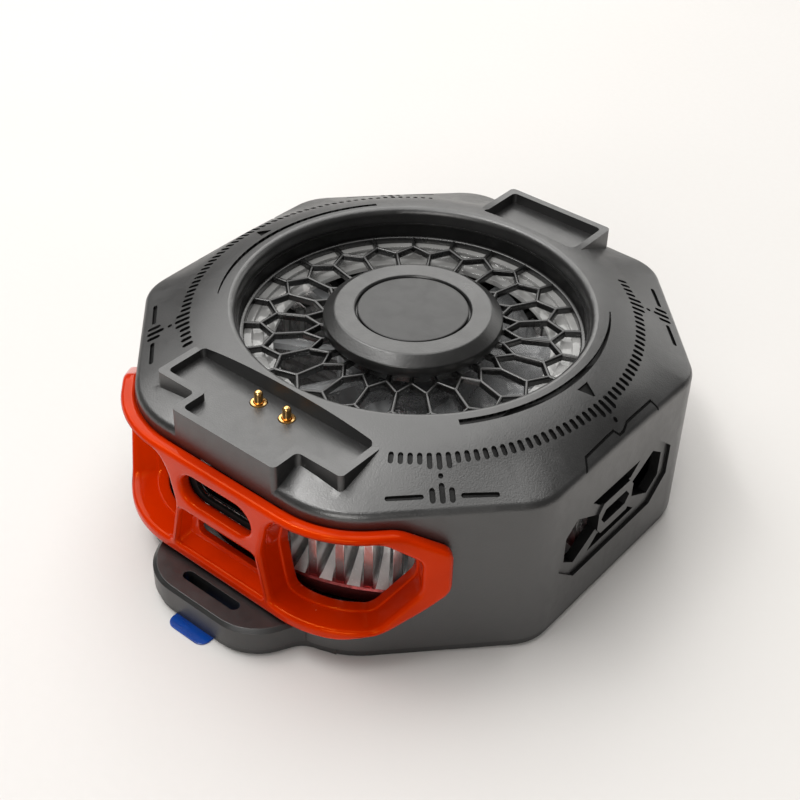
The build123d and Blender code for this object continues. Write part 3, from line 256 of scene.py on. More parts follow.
@dataclass(frozen=True)
class MouldedPlastic:
    """Moulded plastic with fine grain, uneven gloss, specks of dust and, where faces are marked sunk, painted
    shade.
    """

    name: str
    colour: Colour
    roughness: float = 0.42
    unevenness: float = 0.08
    grain_mm: float = 0.16
    grain_depth_mm: float = 0.004
    dust: float = 0.06
    index: float = 1.72
    sunk: str = ""

    def make(self) -> bpy.types.Material:
        """Build the material.

        Returns:
            The material.
        """
        recipe = Recipe(self.name)
        cloud = recipe.noise(14.0, 4.0)
        fine = recipe.noise(1.3, 5.0)
        grain = recipe.noise(self.grain_mm, 2.0)
        dust = recipe.specks(1.7, 0.045, self.dust) * fine.remap(0.3, 0.6)
        pale = tuple(min(1.0, channel * 1.7 + 0.004) for channel in self.colour)
        base = recipe.blend(cloud.remap(0.3, 0.75) * 0.5, self.colour, pale)
        base = recipe.blend(dust * 0.8, base, (0.42, 0.41, 0.39))
        rough = cloud.remap(0.3, 0.7, self.roughness - self.unevenness, self.roughness + self.unevenness)
        rough = rough + fine.remap(0.35, 0.7, -0.02, 0.03) + dust * 0.3
        bent = recipe.bump(grain, self.grain_depth_mm)
        shader = recipe.surface({"Base Color": base, "Roughness": rough, "IOR": self.index, "Normal": bent})
        # Faces marked sunk, the groove floors, inner walls of openings and the well, take a darker, duller
        # shader: partly a rougher finish, partly painted shade
        if self.sunk:
            matt_painted_shade = recipe.surface({
                "Base Color": recipe.blend(fine.remap(0.35, 0.7), self.colour, (0.003, 0.003, 0.003)),
                "Roughness": fine.remap(0.3, 0.7, 0.5, 0.7),
                "Specular IOR Level": 0.1,
            })
            mask = recipe.node("ShaderNodeAttribute", {"attribute_name": self.sunk}, {}, "Fac")
            shader = recipe.node("ShaderNodeMixShader", {}, {0: mask * 0.85, 1: shader, 2: matt_painted_shade})
        return recipe.finish(shader)


@dataclass(frozen=True)
class PaintedGloss:
    """Bright glossy plastic with slight flow marks and faint scuffs."""

    name: str
    colour: Colour
    deep: Colour
    sheen: Colour
    roughness: float = 0.11

    def make(self) -> bpy.types.Material:
        """Build the material.

        Returns:
            The material.
        """
        recipe = Recipe(self.name)
        cloud = recipe.noise(9.0, 3.0)
        scuffs = recipe.noise(1.1, 6.0, (1.0, 1.0, 3.0))
        dust = recipe.specks(1.5, 0.04, 0.05)
        base = recipe.blend(cloud.remap(0.35, 0.75), self.colour, self.deep)
        base = recipe.blend(dust * 0.4, base, (0.8, 0.5, 0.36))
        rough = cloud.remap(0.3, 0.7, self.roughness - 0.04, self.roughness + 0.05)
        rough = rough + scuffs.remap(0.56, 0.75, 0.0, 0.1)
        return recipe.finish(recipe.surface({
            "Base Color": base,
            "Roughness": rough,
            "IOR": 1.42,
            "Specular Tint": self.sheen,
            "Normal": recipe.bump(recipe.noise(0.7, 2.0), 0.002),
        }))


@dataclass(frozen=True)
class ClearPlastic:
    """Thin clear or smoky plastic with a bright gloss."""

    name: str
    colour: Colour
    roughness: float = 0.08
    cover: float = 0.4

    def make(self) -> bpy.types.Material:
        """Build the material.

        Returns:
            The material.
        """
        recipe = Recipe(self.name)
        cloud = recipe.noise(4.0, 3.0)
        tint = tuple(channel * 0.8 for channel in self.colour)
        edge = recipe.node("ShaderNodeLayerWeight", {}, {"Blend": 0.35}, "Facing")
        return recipe.finish(recipe.surface({
            "Base Color": recipe.blend(cloud.remap(0.3, 0.7), self.colour, tint),
            "Roughness": cloud.remap(0.3, 0.7, self.roughness * 0.6, self.roughness * 1.6),
            "IOR": 1.55,
            "Coat Weight": 0.6,
            "Coat Roughness": 0.04,
            "Alpha": edge.remap(0.0, 1.0, self.cover, min(1.0, self.cover + 0.5)),
            "Normal": recipe.bump(recipe.noise(1.3, 2.0), 0.008),
        }))


@dataclass(frozen=True)
class Metal:
    """Bare or plated metal, cast, drawn or turned, with an optional painted reflection low near its outer
    edge.
    """

    name: str
    colour: Colour
    roughness: float = 0.3
    grain_mm: float = 0.25
    grain_depth_mm: float = 0.004
    stretch: Point = (1.0, 1.0, 1.0)
    specks: float = 0.0
    metallic: float = 1.0
    # Colour of a painted reflection: the orange bezel reflected in the foot of the fins and the plate's rim,
    # not the metal's own colour
    cast: Optional[Colour] = None

    def make(self) -> bpy.types.Material:
        """Build the material.

        Returns:
            The material.
        """
        recipe = Recipe(self.name)
        cloud = recipe.noise(3.5, 4.0)
        grain = recipe.noise(self.grain_mm, 4.0, self.stretch)
        dark = tuple(channel * 0.72 for channel in self.colour)
        pale = tuple(min(1.0, channel * 1.35) for channel in self.colour)
        base = recipe.blend(cloud.remap(0.3, 0.7), dark, self.colour)
        # Painted reflection: below about 8 mm and beyond 26 mm from the axis the metal is tinted towards the
        # cast colour
        if self.cast:
            low = recipe.axis("Z").remap(8.6 * MM, 6.2 * MM)
            place = recipe.node("ShaderNodeVectorMath", {"operation": "MULTIPLY"},
                                {0: recipe.place(), 1: (1.0, 1.0, 0.0)})
            far = recipe.node("ShaderNodeVectorMath", {"operation": "LENGTH"}, {0: place}, "Value")
            base = recipe.blend(low * far.remap(26.0 * MM, 27.5 * MM) * 0.9, base, self.cast)
        if self.specks:
            base = recipe.blend(grain.remap(0.6, 0.72) * self.specks, base, pale)
        rough = grain.remap(0.3, 0.7, self.roughness * 0.75, self.roughness * 1.3)
        return recipe.finish(recipe.surface({
            "Base Color": base,
            "Metallic": self.metallic,
            "Roughness": rough,
            "Normal": recipe.bump(grain, self.grain_depth_mm),
        }))


@dataclass(frozen=True)
class Wound:
    """Enamelled wire, wound in even turns."""

    name: str
    colour: Colour
    pitch_mm: float = 0.3

    def make(self) -> bpy.types.Material:
        """Build the material.

        Returns:
            The material.
        """
        recipe = Recipe(self.name)
        turns = (recipe.axis("Z") * (2.0 * math.pi / (self.pitch_mm * MM))).sine()
        dark = tuple(channel * 0.45 for channel in self.colour)
        return recipe.finish(recipe.surface({
            # The gaps between turns are painted darker: painted shade in the creases between the wires
            "Base Color": recipe.blend(turns.remap(-1.0, 0.4), dark, self.colour),
            "Metallic": 0.9,
            "Roughness": turns.remap(-1.0, 1.0, 0.5, 0.28),
            "Normal": recipe.bump(turns.remap(-1.0, 1.0), 0.05),
        }))


@dataclass(frozen=True)
class Board:
    """Solder-resist on a circuit board, with tracks under it."""

    name: str
    colour: Colour = (0.006, 0.012, 0.01)

    def make(self) -> bpy.types.Material:
        """Build the material.

        Returns:
            The material.
        """
        recipe = Recipe(self.name)
        grid = {"Vector": recipe.place(), "Scale": 1.0 / (0.8 * MM), "Randomness": 0.0}
        cells = recipe.node("ShaderNodeTexVoronoi", {"distance": "CHEBYCHEV"}, grid, "Distance")
        tracks = cells.remap(0.34, 0.42)
        pale = tuple(channel * 2.2 for channel in self.colour)
        return recipe.finish(recipe.surface({
            "Base Color": recipe.blend(tracks, self.colour, pale),
            "Roughness": recipe.noise(2.0, 3.0).remap(0.3, 0.7, 0.28, 0.42),
            "Normal": recipe.bump(tracks, 0.015),
        }))


@dataclass(frozen=True)
class Film:
    """Thin tinted film with slight creases."""

    name: str
    colour: Colour
    deep: Colour

    def make(self) -> bpy.types.Material:
        """Build the material.

        Returns:
            The material.
        """
        recipe = Recipe(self.name)
        crease = recipe.noise(3.0, 3.0, (1.0, 3.0, 1.0))
        return recipe.finish(recipe.surface({
            "Base Color": recipe.blend(crease.remap(0.3, 0.7), self.colour, self.deep),
            "Roughness": crease.remap(0.3, 0.7, 0.16, 0.3),
            "Subsurface Weight": 0.2,
            "Subsurface Scale": 0.001,
            "Coat Weight": 0.5,
            "Coat Roughness": 0.1,
            "Normal": recipe.bump(crease, 0.06),
        }))


class Finishes:
    """Every finish of the object, made once and handed out by name."""

    def __init__(self) -> None:
        """List the finishes."""
        self._kinds = {
            "cover": MouldedPlastic("satin_black_cover", (0.006, 0.006, 0.006), 0.36, 0.05, 0.19, 0.022,
                                    index=1.95, sunk=Deck.mask),
            "void": MouldedPlastic("dull_black", (0.003, 0.003, 0.003), 0.6, index=1.4),
            "base": MouldedPlastic("satin_black_base", (0.009, 0.009, 0.009), 0.38, 0.05, dust=0.12),
            "grille": MouldedPlastic("gloss_black_grille", (0.004, 0.004, 0.004), 0.28, 0.04, dust=0.02,
                                     index=1.75),
            "cap": MouldedPlastic("black_hub_cap", (0.006, 0.006, 0.006), 0.34, 0.05, 0.3, 0.016, 0.05, 1.75),
            "disc": MouldedPlastic("black_cap_disc", (0.009, 0.009, 0.009), 0.38, 0.04, dust=0.05,
                                   index=1.54),
            "bracket": MouldedPlastic("black_bracket", (0.02, 0.02, 0.022), 0.5),
            "block": MouldedPlastic("black_block", (0.012, 0.012, 0.012), 0.55),
            "chip": MouldedPlastic("moulded_chip", (0.018, 0.018, 0.019), 0.6, grain_mm=0.08),
            "nylon": MouldedPlastic("nylon_clip", (0.7, 0.68, 0.62), 0.45),
            "foam": MouldedPlastic("foam_gasket", (0.02, 0.02, 0.02), 0.9, grain_depth_mm=0.05, grain_mm=0.3),
            "silicone": MouldedPlastic("silicone_pad", (0.05, 0.05, 0.054), 0.75, grain_depth_mm=0.01),
            "ceramic": MouldedPlastic("white_ceramic", (0.8, 0.8, 0.78), 0.55, dust=0.0),
            "ferrite": MouldedPlastic("ferrite", (0.03, 0.03, 0.032), 0.6),
            "bezel": PaintedGloss("gloss_orange_bezel", (0.6, 0.026, 0.0), (0.47, 0.017, 0.0),
                                  (1.0, 0.3, 0.04)),
            "clear": ClearPlastic("clear_shroud", (0.62, 0.62, 0.61), 0.05, 0.35),
            "smoke": ClearPlastic("smoky_blades", (0.45, 0.46, 0.47), 0.1, 0.4),
            "cast": Metal("cast_aluminium", (0.93, 0.93, 0.92), 0.45, 0.2, 0.03, specks=1.0, metallic=0.1),
            # smooth_aluminium carries a dark red painted reflection of the orange bezel at the foot of its
            # fins and the rim of its plate
            "cut": Metal("smooth_aluminium", (0.94, 0.93, 0.93), 0.2, 0.5, 0.003, metallic=0.8,
                         cast=(0.42, 0.012, 0.012)),
            "plate": Metal("cooling_plate", (0.75, 0.76, 0.78), 0.25, 0.3, 0.002, (1.0, 12.0, 1.0)),
            "steel": Metal("drawn_steel", (0.56, 0.56, 0.58), 0.28),
            # The socket's steel shell is painted near black: painted shade of the slot that it sits in
            "shell": Metal("shell_in_painted_shade", (0.06, 0.06, 0.065), 0.3),
            "lamination": Metal("stamped_steel", (0.36, 0.36, 0.38), 0.4, 0.35, 0.02, (1.0, 1.0, 9.0)),
            "nickel": Metal("nickel_plate", (0.66, 0.65, 0.62), 0.18),
            "screw": Metal("plated_screw", (0.3, 0.3, 0.31), 0.3),
            "bronze": Metal("sintered_bronze", (0.5, 0.3, 0.13), 0.5, 0.12, 0.01),
            "gold": Metal("gold_plate", (0.95, 0.58, 0.22), 0.17, 0.3, 0.001),
            "pellet": Metal("grey_pellet", (0.3, 0.31, 0.33), 0.55),
            "copper": Wound("enamelled_copper", (0.72, 0.26, 0.1)),
            "board": Board("black_board"),
            "film": Film("blue_film", (0.003, 0.06, 0.34), (0.002, 0.042, 0.27)),
        }
        self._made: Dict[str, bpy.types.Material] = {}

    def get(self, name: str) -> bpy.types.Material:
        """Material of a finish.

        Args:
            name: Key of the finish.

        Returns:
            The material, made on first use.
        """
        if name not in self._made:
            self._made[name] = self._kinds[name].make()
        return self._made[name]


# Mesh tools


def add_object(name: str, mesh: bpy.types.Mesh, material: bpy.types.Material) -> bpy.types.Object:
    """Put a mesh in the scene with one material.

    Args:
        name: Name of the piece.
        mesh: Its mesh, in metres.
        material: Its finish.

    Returns:
        The new object.
    """
    made = bpy.data.objects.new(name, mesh)
    bpy.context.scene.collection.objects.link(made)
    mesh.materials.clear()
    mesh.materials.append(material)
    for face in mesh.polygons:
        face.material_index = 0
    return made


def soften(piece: bpy.types.Object, edge: Edge, angle: float = 32.0) -> None:
    """Round a piece's edges and shade it smooth up to an angle.

    Args:
        piece: The object.
        edge: How far its edges are rounded.
        angle: Edges sharper than this, in degrees, stay or are rounded.
    """
    piece.data.shade_smooth()
    piece.data.set_sharp_from_angle(angle=math.radians(angle))
    if edge is not Edge.SHARP:
        bevel = piece.modifiers.new("rounded_edges", "BEVEL")
        bevel.width = edge.value * MM
        bevel.segments = 2
        bevel.limit_method = "ANGLE"
        bevel.angle_limit = math.radians(angle)
        bevel.use_clamp_overlap = True
    even = piece.modifiers.new("even_shading", "WEIGHTED_NORMAL")
    even.keep_sharp = True
    even.weight = 100


def to_plain_mesh(piece: bpy.types.Object) -> None:
    """Turn what a piece's modifiers give into its own mesh and drop them.

    Args:
        piece: The object.
    """
    graph = bpy.context.evaluated_depsgraph_get()
    mesh = bpy.data.meshes.new_from_object(piece.evaluated_get(graph), depsgraph=graph)
    piece.modifiers.clear()
    old = piece.data
    piece.data = mesh
    bpy.data.meshes.remove(old)


def object_from(shape: bmesh.types.BMesh, name: str, material: bpy.types.Material) -> bpy.types.Object:
    """Put a finished shape in the scene.

    Args:
        shape: The shape, which is freed.
        name: Name of the piece.
        material: Its finish.

    Returns:
        The new object.
    """
    mesh = bpy.data.meshes.new(name)
    shape.to_mesh(mesh)
    shape.free()
    return add_object(name, mesh, material)


def discard(piece: bpy.types.Object) -> None:
    """Remove an object together with its mesh.

    Args:
        piece: The object.
    """
    mesh = piece.data
    bpy.data.objects.remove(piece)
    bpy.data.meshes.remove(mesh)


def drawn(curve: bpy.types.Curve) -> bpy.types.Mesh:
    """Mesh of a curve.

    Args:
        curve: The curve, which is removed.

    Returns:
        The mesh.
    """
    made = bpy.data.objects.new(curve.name, curve)
    bpy.context.scene.collection.objects.link(made)
    graph = bpy.context.evaluated_depsgraph_get()
    mesh = bpy.data.meshes.new_from_object(made.evaluated_get(graph), depsgraph=graph)
    bpy.data.objects.remove(made)
    bpy.data.curves.remove(curve)
    return mesh


def node_copy(node: str, name: str, material: bpy.types.Material) -> bpy.types.Object:
    """Welded copy of a CAD node's mesh.

    Args:
        node: Name of the node.
        name: Name of the copy.
        material: Its finish.

    Returns:
        The copy.
    """
    shape = bmesh.new()
    shape.from_mesh(frame["nodes"][node].data)
    bmesh.ops.remove_doubles(shape, verts=shape.verts, dist=0.002 * MM)
    bmesh.ops.dissolve_limit(
        shape, angle_limit=math.radians(0.2), verts=shape.verts, edges=shape.edges, delimit={"NORMAL"}
    )
    return object_from(shape, name, material)


def skin(name: str, rows: Sequence[Sequence[Point]], material: bpy.types.Material,
         closed: bool = False) -> bpy.types.Object:
    """Shape whose skin runs from one outline to the next.

    Args:
        name: Name of the piece.
        rows: Outlines with the same number of corners, in millimetres, or one point at a tip.
        material: Its finish.
        closed: True where the last outline joins the first, so that the ends need no face.

    Returns:
        The object.
    """
    shape = bmesh.new()
    rings = [[shape.verts.new(tuple(value * MM for value in place)) for place in row] for row in rows]
    if not closed:
        for ring in (rings[0], rings[-1]):
            if len(ring) > 2:
                shape.faces.new(ring)
    for low, high in zip(rings, rings[1:] + (rings[:1] if closed else [])):
        for index in range(max(len(low), len(high))):
            corners = (low[index % len(low)], low[(index + 1) % len(low)],
                       high[(index + 1) % len(high)], high[index % len(high)])
            unique = list(dict.fromkeys(corners))
            if len(unique) > 2:
                shape.faces.new(unique)
    bmesh.ops.recalc_face_normals(shape, faces=shape.faces)
    return object_from(shape, name, material)


def lathe(name: str, outline: Sequence[Flat], material: bpy.types.Material, steps: int = 160,
          centre: Flat = (0.0, 0.0)) -> bpy.types.Object:
    """Closed shape turned about an upright line.

    Args:
        name: Name of the piece.
        outline: Radius and height of each corner, in millimetres, from one end of the axis to the
            other or round a closed ring.
        material: Its finish.
        steps: Number of steps in a turn.
        centre: Place of the line.

    Returns:
        The object.
    """
    rows = []
    for radius, height in outline:
        turns = [2.0 * math.pi * step / steps for step in range(steps if radius else 1)]
        rows.append([(centre[0] + radius * math.cos(turn), centre[1] + radius * math.sin(turn), height)
                     for turn in turns])
    return skin(name, rows, material, closed=outline[0][0] > 0.0)


def prism(name: str, outline: Sequence[Flat], level: Callable[[float, float], float], drop: float,
          rise: float, material: bpy.types.Material) -> bpy.types.Object:
    """Upright block that goes below a surface by the drop and above it by the rise."""
    return skin(name, [[(x, y, level(x, y) + by) for x, y in outline] for by in (-drop, rise)], material)


def join(name: str, pieces: Sequence[bpy.types.Object]) -> bpy.types.Object:
    """One object from several plain meshes with the same finish.

    Args:
        name: Name of the result.
        pieces: The objects, which are removed.

    Returns:
        The joined object.
    """
    shape = bmesh.new()
    material = pieces[0].data.materials[0]
    for piece in pieces:
        shape.from_mesh(piece.data)
        discard(piece)
    return object_from(shape, name, material)


def round_slot(start: Flat, end: Flat, width: float, steps: int = 5) -> List[Flat]:
    """Outline of a slot with round ends.

    Args:
        start: Middle of one end, at the tip.
        end: Middle of the other end, at the tip.
        width: Width of the slot.
        steps: Corners on each end.

    Returns:
        The corners.
    """
    along = Vector((end[0] - start[0], end[1] - start[1])).normalized()
    side = Vector((-along.y, along.x))
    half = width / 2.0
    corners = []
    for tip, direction in ((end, 1.0), (start, -1.0)):
        middle = Vector(tip) - along * half * direction
        for step in range(steps + 1):
            turn = math.pi * (step / steps - 0.5)
            across = side * half * math.sin(turn) * direction
            spot = middle + along * half * math.cos(turn) * direction + across
            corners.append((spot.x, spot.y))
    return corners


def stroke(line: Sequence[Flat], width: float, least: float = 0.4) -> List[Flat]:
    """Outline of a thin line with mitred corners.

    Args:
        line: Its points.
        width: Its width.
        least: Least cosine that a sharp corner counts with.

    Returns:
        The corners.
    """
    sides: Tuple[List[Flat], List[Flat]] = ([], [])
    for index, point in enumerate(line):
        here = Vector(point)
        before = (here - Vector(line[max(0, index - 1)])).normalized() if index else None
        after = (Vector(line[index + 1]) - here).normalized() if index + 1 < len(line) else None
        way = ((before or after) + (after or before)).normalized()
        normal = Vector((-way.y, way.x))
        reach = width / 2.0 / max(least, way.dot(before or after))
        for side, sign in zip(sides, (1.0, -1.0)):
            spot = here + normal * reach * sign
            side.append((spot.x, spot.y))
    return sides[0] + sides[1][::-1]


def turned(places: Iterable[Flat], degrees: float) -> List[Flat]:
    """Places turned about the origin."""
    c, s = math.cos(math.radians(degrees)), math.sin(math.radians(degrees))
    return [(x * c - y * s, x * s + y * c) for x, y in places]


# Geometry Nodes


class RepeatTree:
    """Geometry Nodes tree that repeats a shape in a ring or a row."""

    def __init__(self, name: str, ring: bool) -> None:
        """Build the tree.

        Args:
            name: Name of the tree.
            ring: True for a ring about the Z axis, False for a row.
        """
        self.group = bpy.data.node_groups.new(name, "GeometryNodeTree")
        way = "Float" if ring else "Vector"
        for socket, kind in (("Shape", "Geometry"), ("Copies", "Int"), ("Start", way), ("Step", way),
                             ("Finish", "Material")):
            self.group.interface.new_socket(socket, in_out="INPUT", socket_type="NodeSocket" + kind)
        self.group.interface.new_socket("Shape", in_out="OUTPUT", socket_type="NodeSocketGeometry")
        given = self._add("NodeGroupInput", {})
        ends = {"Count": given["Copies"]}
        if not ring:
            ends.update({"Start Location": given["Start"], "Offset": given["Step"]})
        line = self._add("GeometryNodeMeshLine", ends, mode="OFFSET")
        places = {"Points": line["Mesh"], "Instance": given["Shape"]}
        if ring:
            line["Mesh"].node.inputs["Offset"].default_value = (0.0, 0.0, 0.0)
            number = self._add("GeometryNodeInputIndex", {})
            factors = {0: number["Index"], 1: given["Step"], 2: given["Start"]}
            angle = self._add("ShaderNodeMath", factors, operation="MULTIPLY_ADD")
            places["Rotation"] = self._add("ShaderNodeCombineXYZ", {"Z": angle[0]})[0]
        copies = self._add("GeometryNodeInstanceOnPoints", places)
        whole = self._add("GeometryNodeRealizeInstances", {"Geometry": copies["Instances"]})
        dressed = {"Geometry": whole["Geometry"], "Material": given["Finish"]}
        finish = self._add("GeometryNodeSetMaterial", dressed)
        self._add("NodeGroupOutput", {"Shape": finish["Geometry"]})

    def _add(self, kind: str, inputs: Dict[Union[int, str], bpy.types.NodeSocket],
             **settings: object) -> bpy.types.NodeOutputs:
        """Add a node.

        Args:
            kind: The node's type.
            inputs: What its inputs are linked to.
            settings: Attributes of the node, set first.

        Returns:
            The node's outputs.
        """
        made = self.group.nodes.new(kind)
        for key, value in settings.items():
            setattr(made, key, value)
        for key, socket in inputs.items():
            self.group.links.new(socket, made.inputs[key])
        return made.outputs

    def apply(self, piece: bpy.types.Object, copies: int, start: object, step: object) -> bpy.types.Object:
        """Repeat a piece's shape and leave the result as its plain mesh.

        Args:
            piece: The object, whose mesh is the shape.
            copies: Number of copies.
            start: Angle in radians or place in metres of the first one.
            step: Angle or distance from one to the next.

        Returns:
            The same object.
        """
        modifier = piece.modifiers.new("copies", "NODES")
        modifier.node_group = self.group
        values = {"Copies": copies, "Start": start, "Step": step, "Finish": piece.data.materials[0]}
        for item in self.group.interface.items_tree:
            if item.in_out == "INPUT" and item.name in values:
                modifier[item.identifier] = values[item.name]
        piece.update_tag()
        to_plain_mesh(piece)
        return piece


class Workshop:
    """What every sub-assembly needs: finishes, trees and the record's slots."""

    def __init__(self) -> None:
        """Set up the shared tools."""
        self.finishes = Finishes()
        self.ring_tree = RepeatTree("ring_of_copies", True)
        self.row_tree = RepeatTree("row_of_copies", False)
        self.slots = {entry["node"]: entry["material_slot"] for entry in frame["record"]["subparts"]}
        self.dressed: List[str] = []

    def ring(self, piece: bpy.types.Object, copies: int, start: float = 0.0,
             step: Optional[float] = None) -> bpy.types.Object:
        """Repeat a piece in a ring."""
        turn = 360.0 / copies if step is None else step
        return self.ring_tree.apply(piece, copies, math.radians(start), math.radians(turn))

    def row(self, piece: bpy.types.Object, copies: int, start: Point, step: Point) -> bpy.types.Object:
        """Repeat a piece in a row."""
        first, gap = (tuple(value * MM for value in way) for way in (start, step))
        return self.row_tree.apply(piece, copies, first, gap)

    def stand_for(self, piece: bpy.types.Object, node: str, body: Body = Body.HOUSING,
                  smooth: Optional[float] = None) -> None:
        """Put a piece in the place of a CAD node.

        Args:
            piece: The dressed piece.
            node: The node that it replaces.
            body: The body that it rides on.
            smooth: Angle in degrees up to which it is shaded smooth first, where it isn't yet.
        """
        if smooth is not None:
            soften(piece, Edge.SHARP, smooth)
        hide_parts(node)
        self.ride(piece, node, body)
        self.dressed.append(node)

    def ride(self, piece: bpy.types.Object, node: str, body: Body = Body.HOUSING) -> None:
        """Let a piece ride on a body.

        Args:
            piece: The piece.
            node: Not used.
            body: The body that it rides on.
        """
        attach(piece, body.value)
        LOG.info("%s rides on %s, %d faces", piece.name, body.value, len(piece.data.polygons))

    def redress(self, node: str, name: str, finish: str, edge: Edge, body: Body = Body.HOUSING,
                angle: float = 32.0) -> bpy.types.Object:
        """Replace a node by a copy with rounded edges.

        Args:
            node: The CAD node.
            name: Name of the copy.
            finish: Key of its finish.
            edge: How far its edges are rounded.
            body: The body that it rides on.
            angle: Smallest angle that counts as an edge, in degrees.

        Returns:
            The copy.
        """
        piece = node_copy(node, name, self.finishes.get(finish))
        soften(piece, edge, angle)
        self.stand_for(piece, node, body)
        return piece

    def paint(self, plan: Dict[str, Sequence[str]]) -> None:
        """Give CAD nodes that stay a finish.

        Args:
            plan: The nodes by key of their finish.
        """
        for finish, nodes in plan.items():
            for node in nodes:
                slots = frame["nodes"][node].data.materials
                slots.clear()
                slots.append(self.finishes.get(finish))
                self.dressed.append(node)
                LOG.info("%s keeps its shape, finish %s", node, finish)


# Cover with its engraved deck


@dataclass
class Deck:
    """Sizes of the domed deck and of the marks engraved in it, in millimetres."""

    half_width: float = 30.0
    half_length: float = 31.4
    front_half_side: float = 14.1
    flank_half_side: float = 14.6
    edge_z: float = 20.9
    shoulder_radius: float = 27.3
    shoulder_z: float = 23.2
    arc_centre: Flat = (17.953, 5.0)
    arc_radius: float = 20.46
    depth: float = 0.35
    shallow: float = 0.2
    nudge: float = 0.02
    nudge_share: float = 0.03
    on_deck: float = 0.006
    crown_radius: float = 21.4
    slope_step: float = 0.02
    wall_top: float = 19.6
    well_radius: float = 20.6
    # Face attribute of the deep faces, which the cover's material darkens as painted shade
    mask = "sunk_mark"
    tick_inner: float = 25.85
    tick_outer: float = 27.1
    tick_width: float = 0.56
    tick_step: float = 45.0 / 21.0
    tick_runs: Tuple[Tuple[int, int], ...] = ((-26, 4), (-19, 18), (2, 18), (23, 4))
    long_ticks: Tuple[Flat, ...] = ((-1.0, 27.55), (0.0, 27.65), (1.0, 27.55))
    dot: Tuple[Flat, Flat, float] = ((27.95, 0.0), (28.5, 0.0), 0.55)
    bars: Tuple[Tuple[Flat, Flat, float], ...] = (
        ((28.9, 0.0), (30.95, 0.0), 0.6), ((29.35, 1.02), (30.9, 1.02), 0.6),
        ((29.35, -1.02), (30.9, -1.02), 0.6), ((30.2, 1.9), (30.2, 5.9), 0.5),
        ((30.2, -1.9), (30.2, -5.9), 0.5),
    )
    pointer: Tuple[Flat, ...] = ((23.62, -0.95), (25.3, -0.12), (25.3, 0.12), (23.62, 0.95))
    pointer_depth: float = 0.3
    crescent_start: float = -38.6
    crescent_turn: float = 75.6
    crescent_steps: int = 60
    crescent_outer: float = 22.92
    crescent_inner: float = 22.2
    crescent_taper: float = 0.58
    taper_from: float = 0.45
    taper_over: float = 0.55
    line: Tuple[Flat, ...] = (
        (30.3, -8.1), (28.9, -6.6), (28.8, -1.2), (29.4, -0.8), (29.4, 0.0), (29.0, 1.2), (28.9, 6.2),
        (30.3, 6.6),
    )
    line_width: float = 0.26
    line_depth: float = 0.25
    above: float = 1.0
    upright: float = 0.6

    def edge_radius(self, angle: float) -> float:
        """Distance from the axis to the deck's edge in a direction.

        Args:
            angle: Direction in radians.

        Returns:
            The distance.
        """
        across, along = abs(math.cos(angle)), abs(math.sin(angle))
        slope = Vector((self.half_length - self.flank_half_side, self.half_width - self.front_half_side))
        slope.normalize()
        reach = slope.x * self.front_half_side + slope.y * self.half_length
        limits = [reach / (slope.x * across + slope.y * along)]
        if across > 0.01:
            limits.append(self.half_width / across)
        if along > 0.01:
            limits.append(self.half_length / along)
        return min(limits)

    def height(self, x: float, y: float) -> float:
        """Height of the deck's surface at a place.

        Args:
            x: Place to the right.
            y: Place to the back.

        Returns:
            The height.
        """
        radius = math.hypot(x, y)
        if radius < self.shoulder_radius:
            across = radius - self.arc_centre[0]
            return self.arc_centre[1] + math.sqrt(self.arc_radius ** 2 - across ** 2)
        edge = self.edge_radius(math.atan2(y, x))
        share = (radius - self.shoulder_radius) / (edge - self.shoulder_radius)
        return self.shoulder_z - share * (self.shoulder_z - self.edge_z)


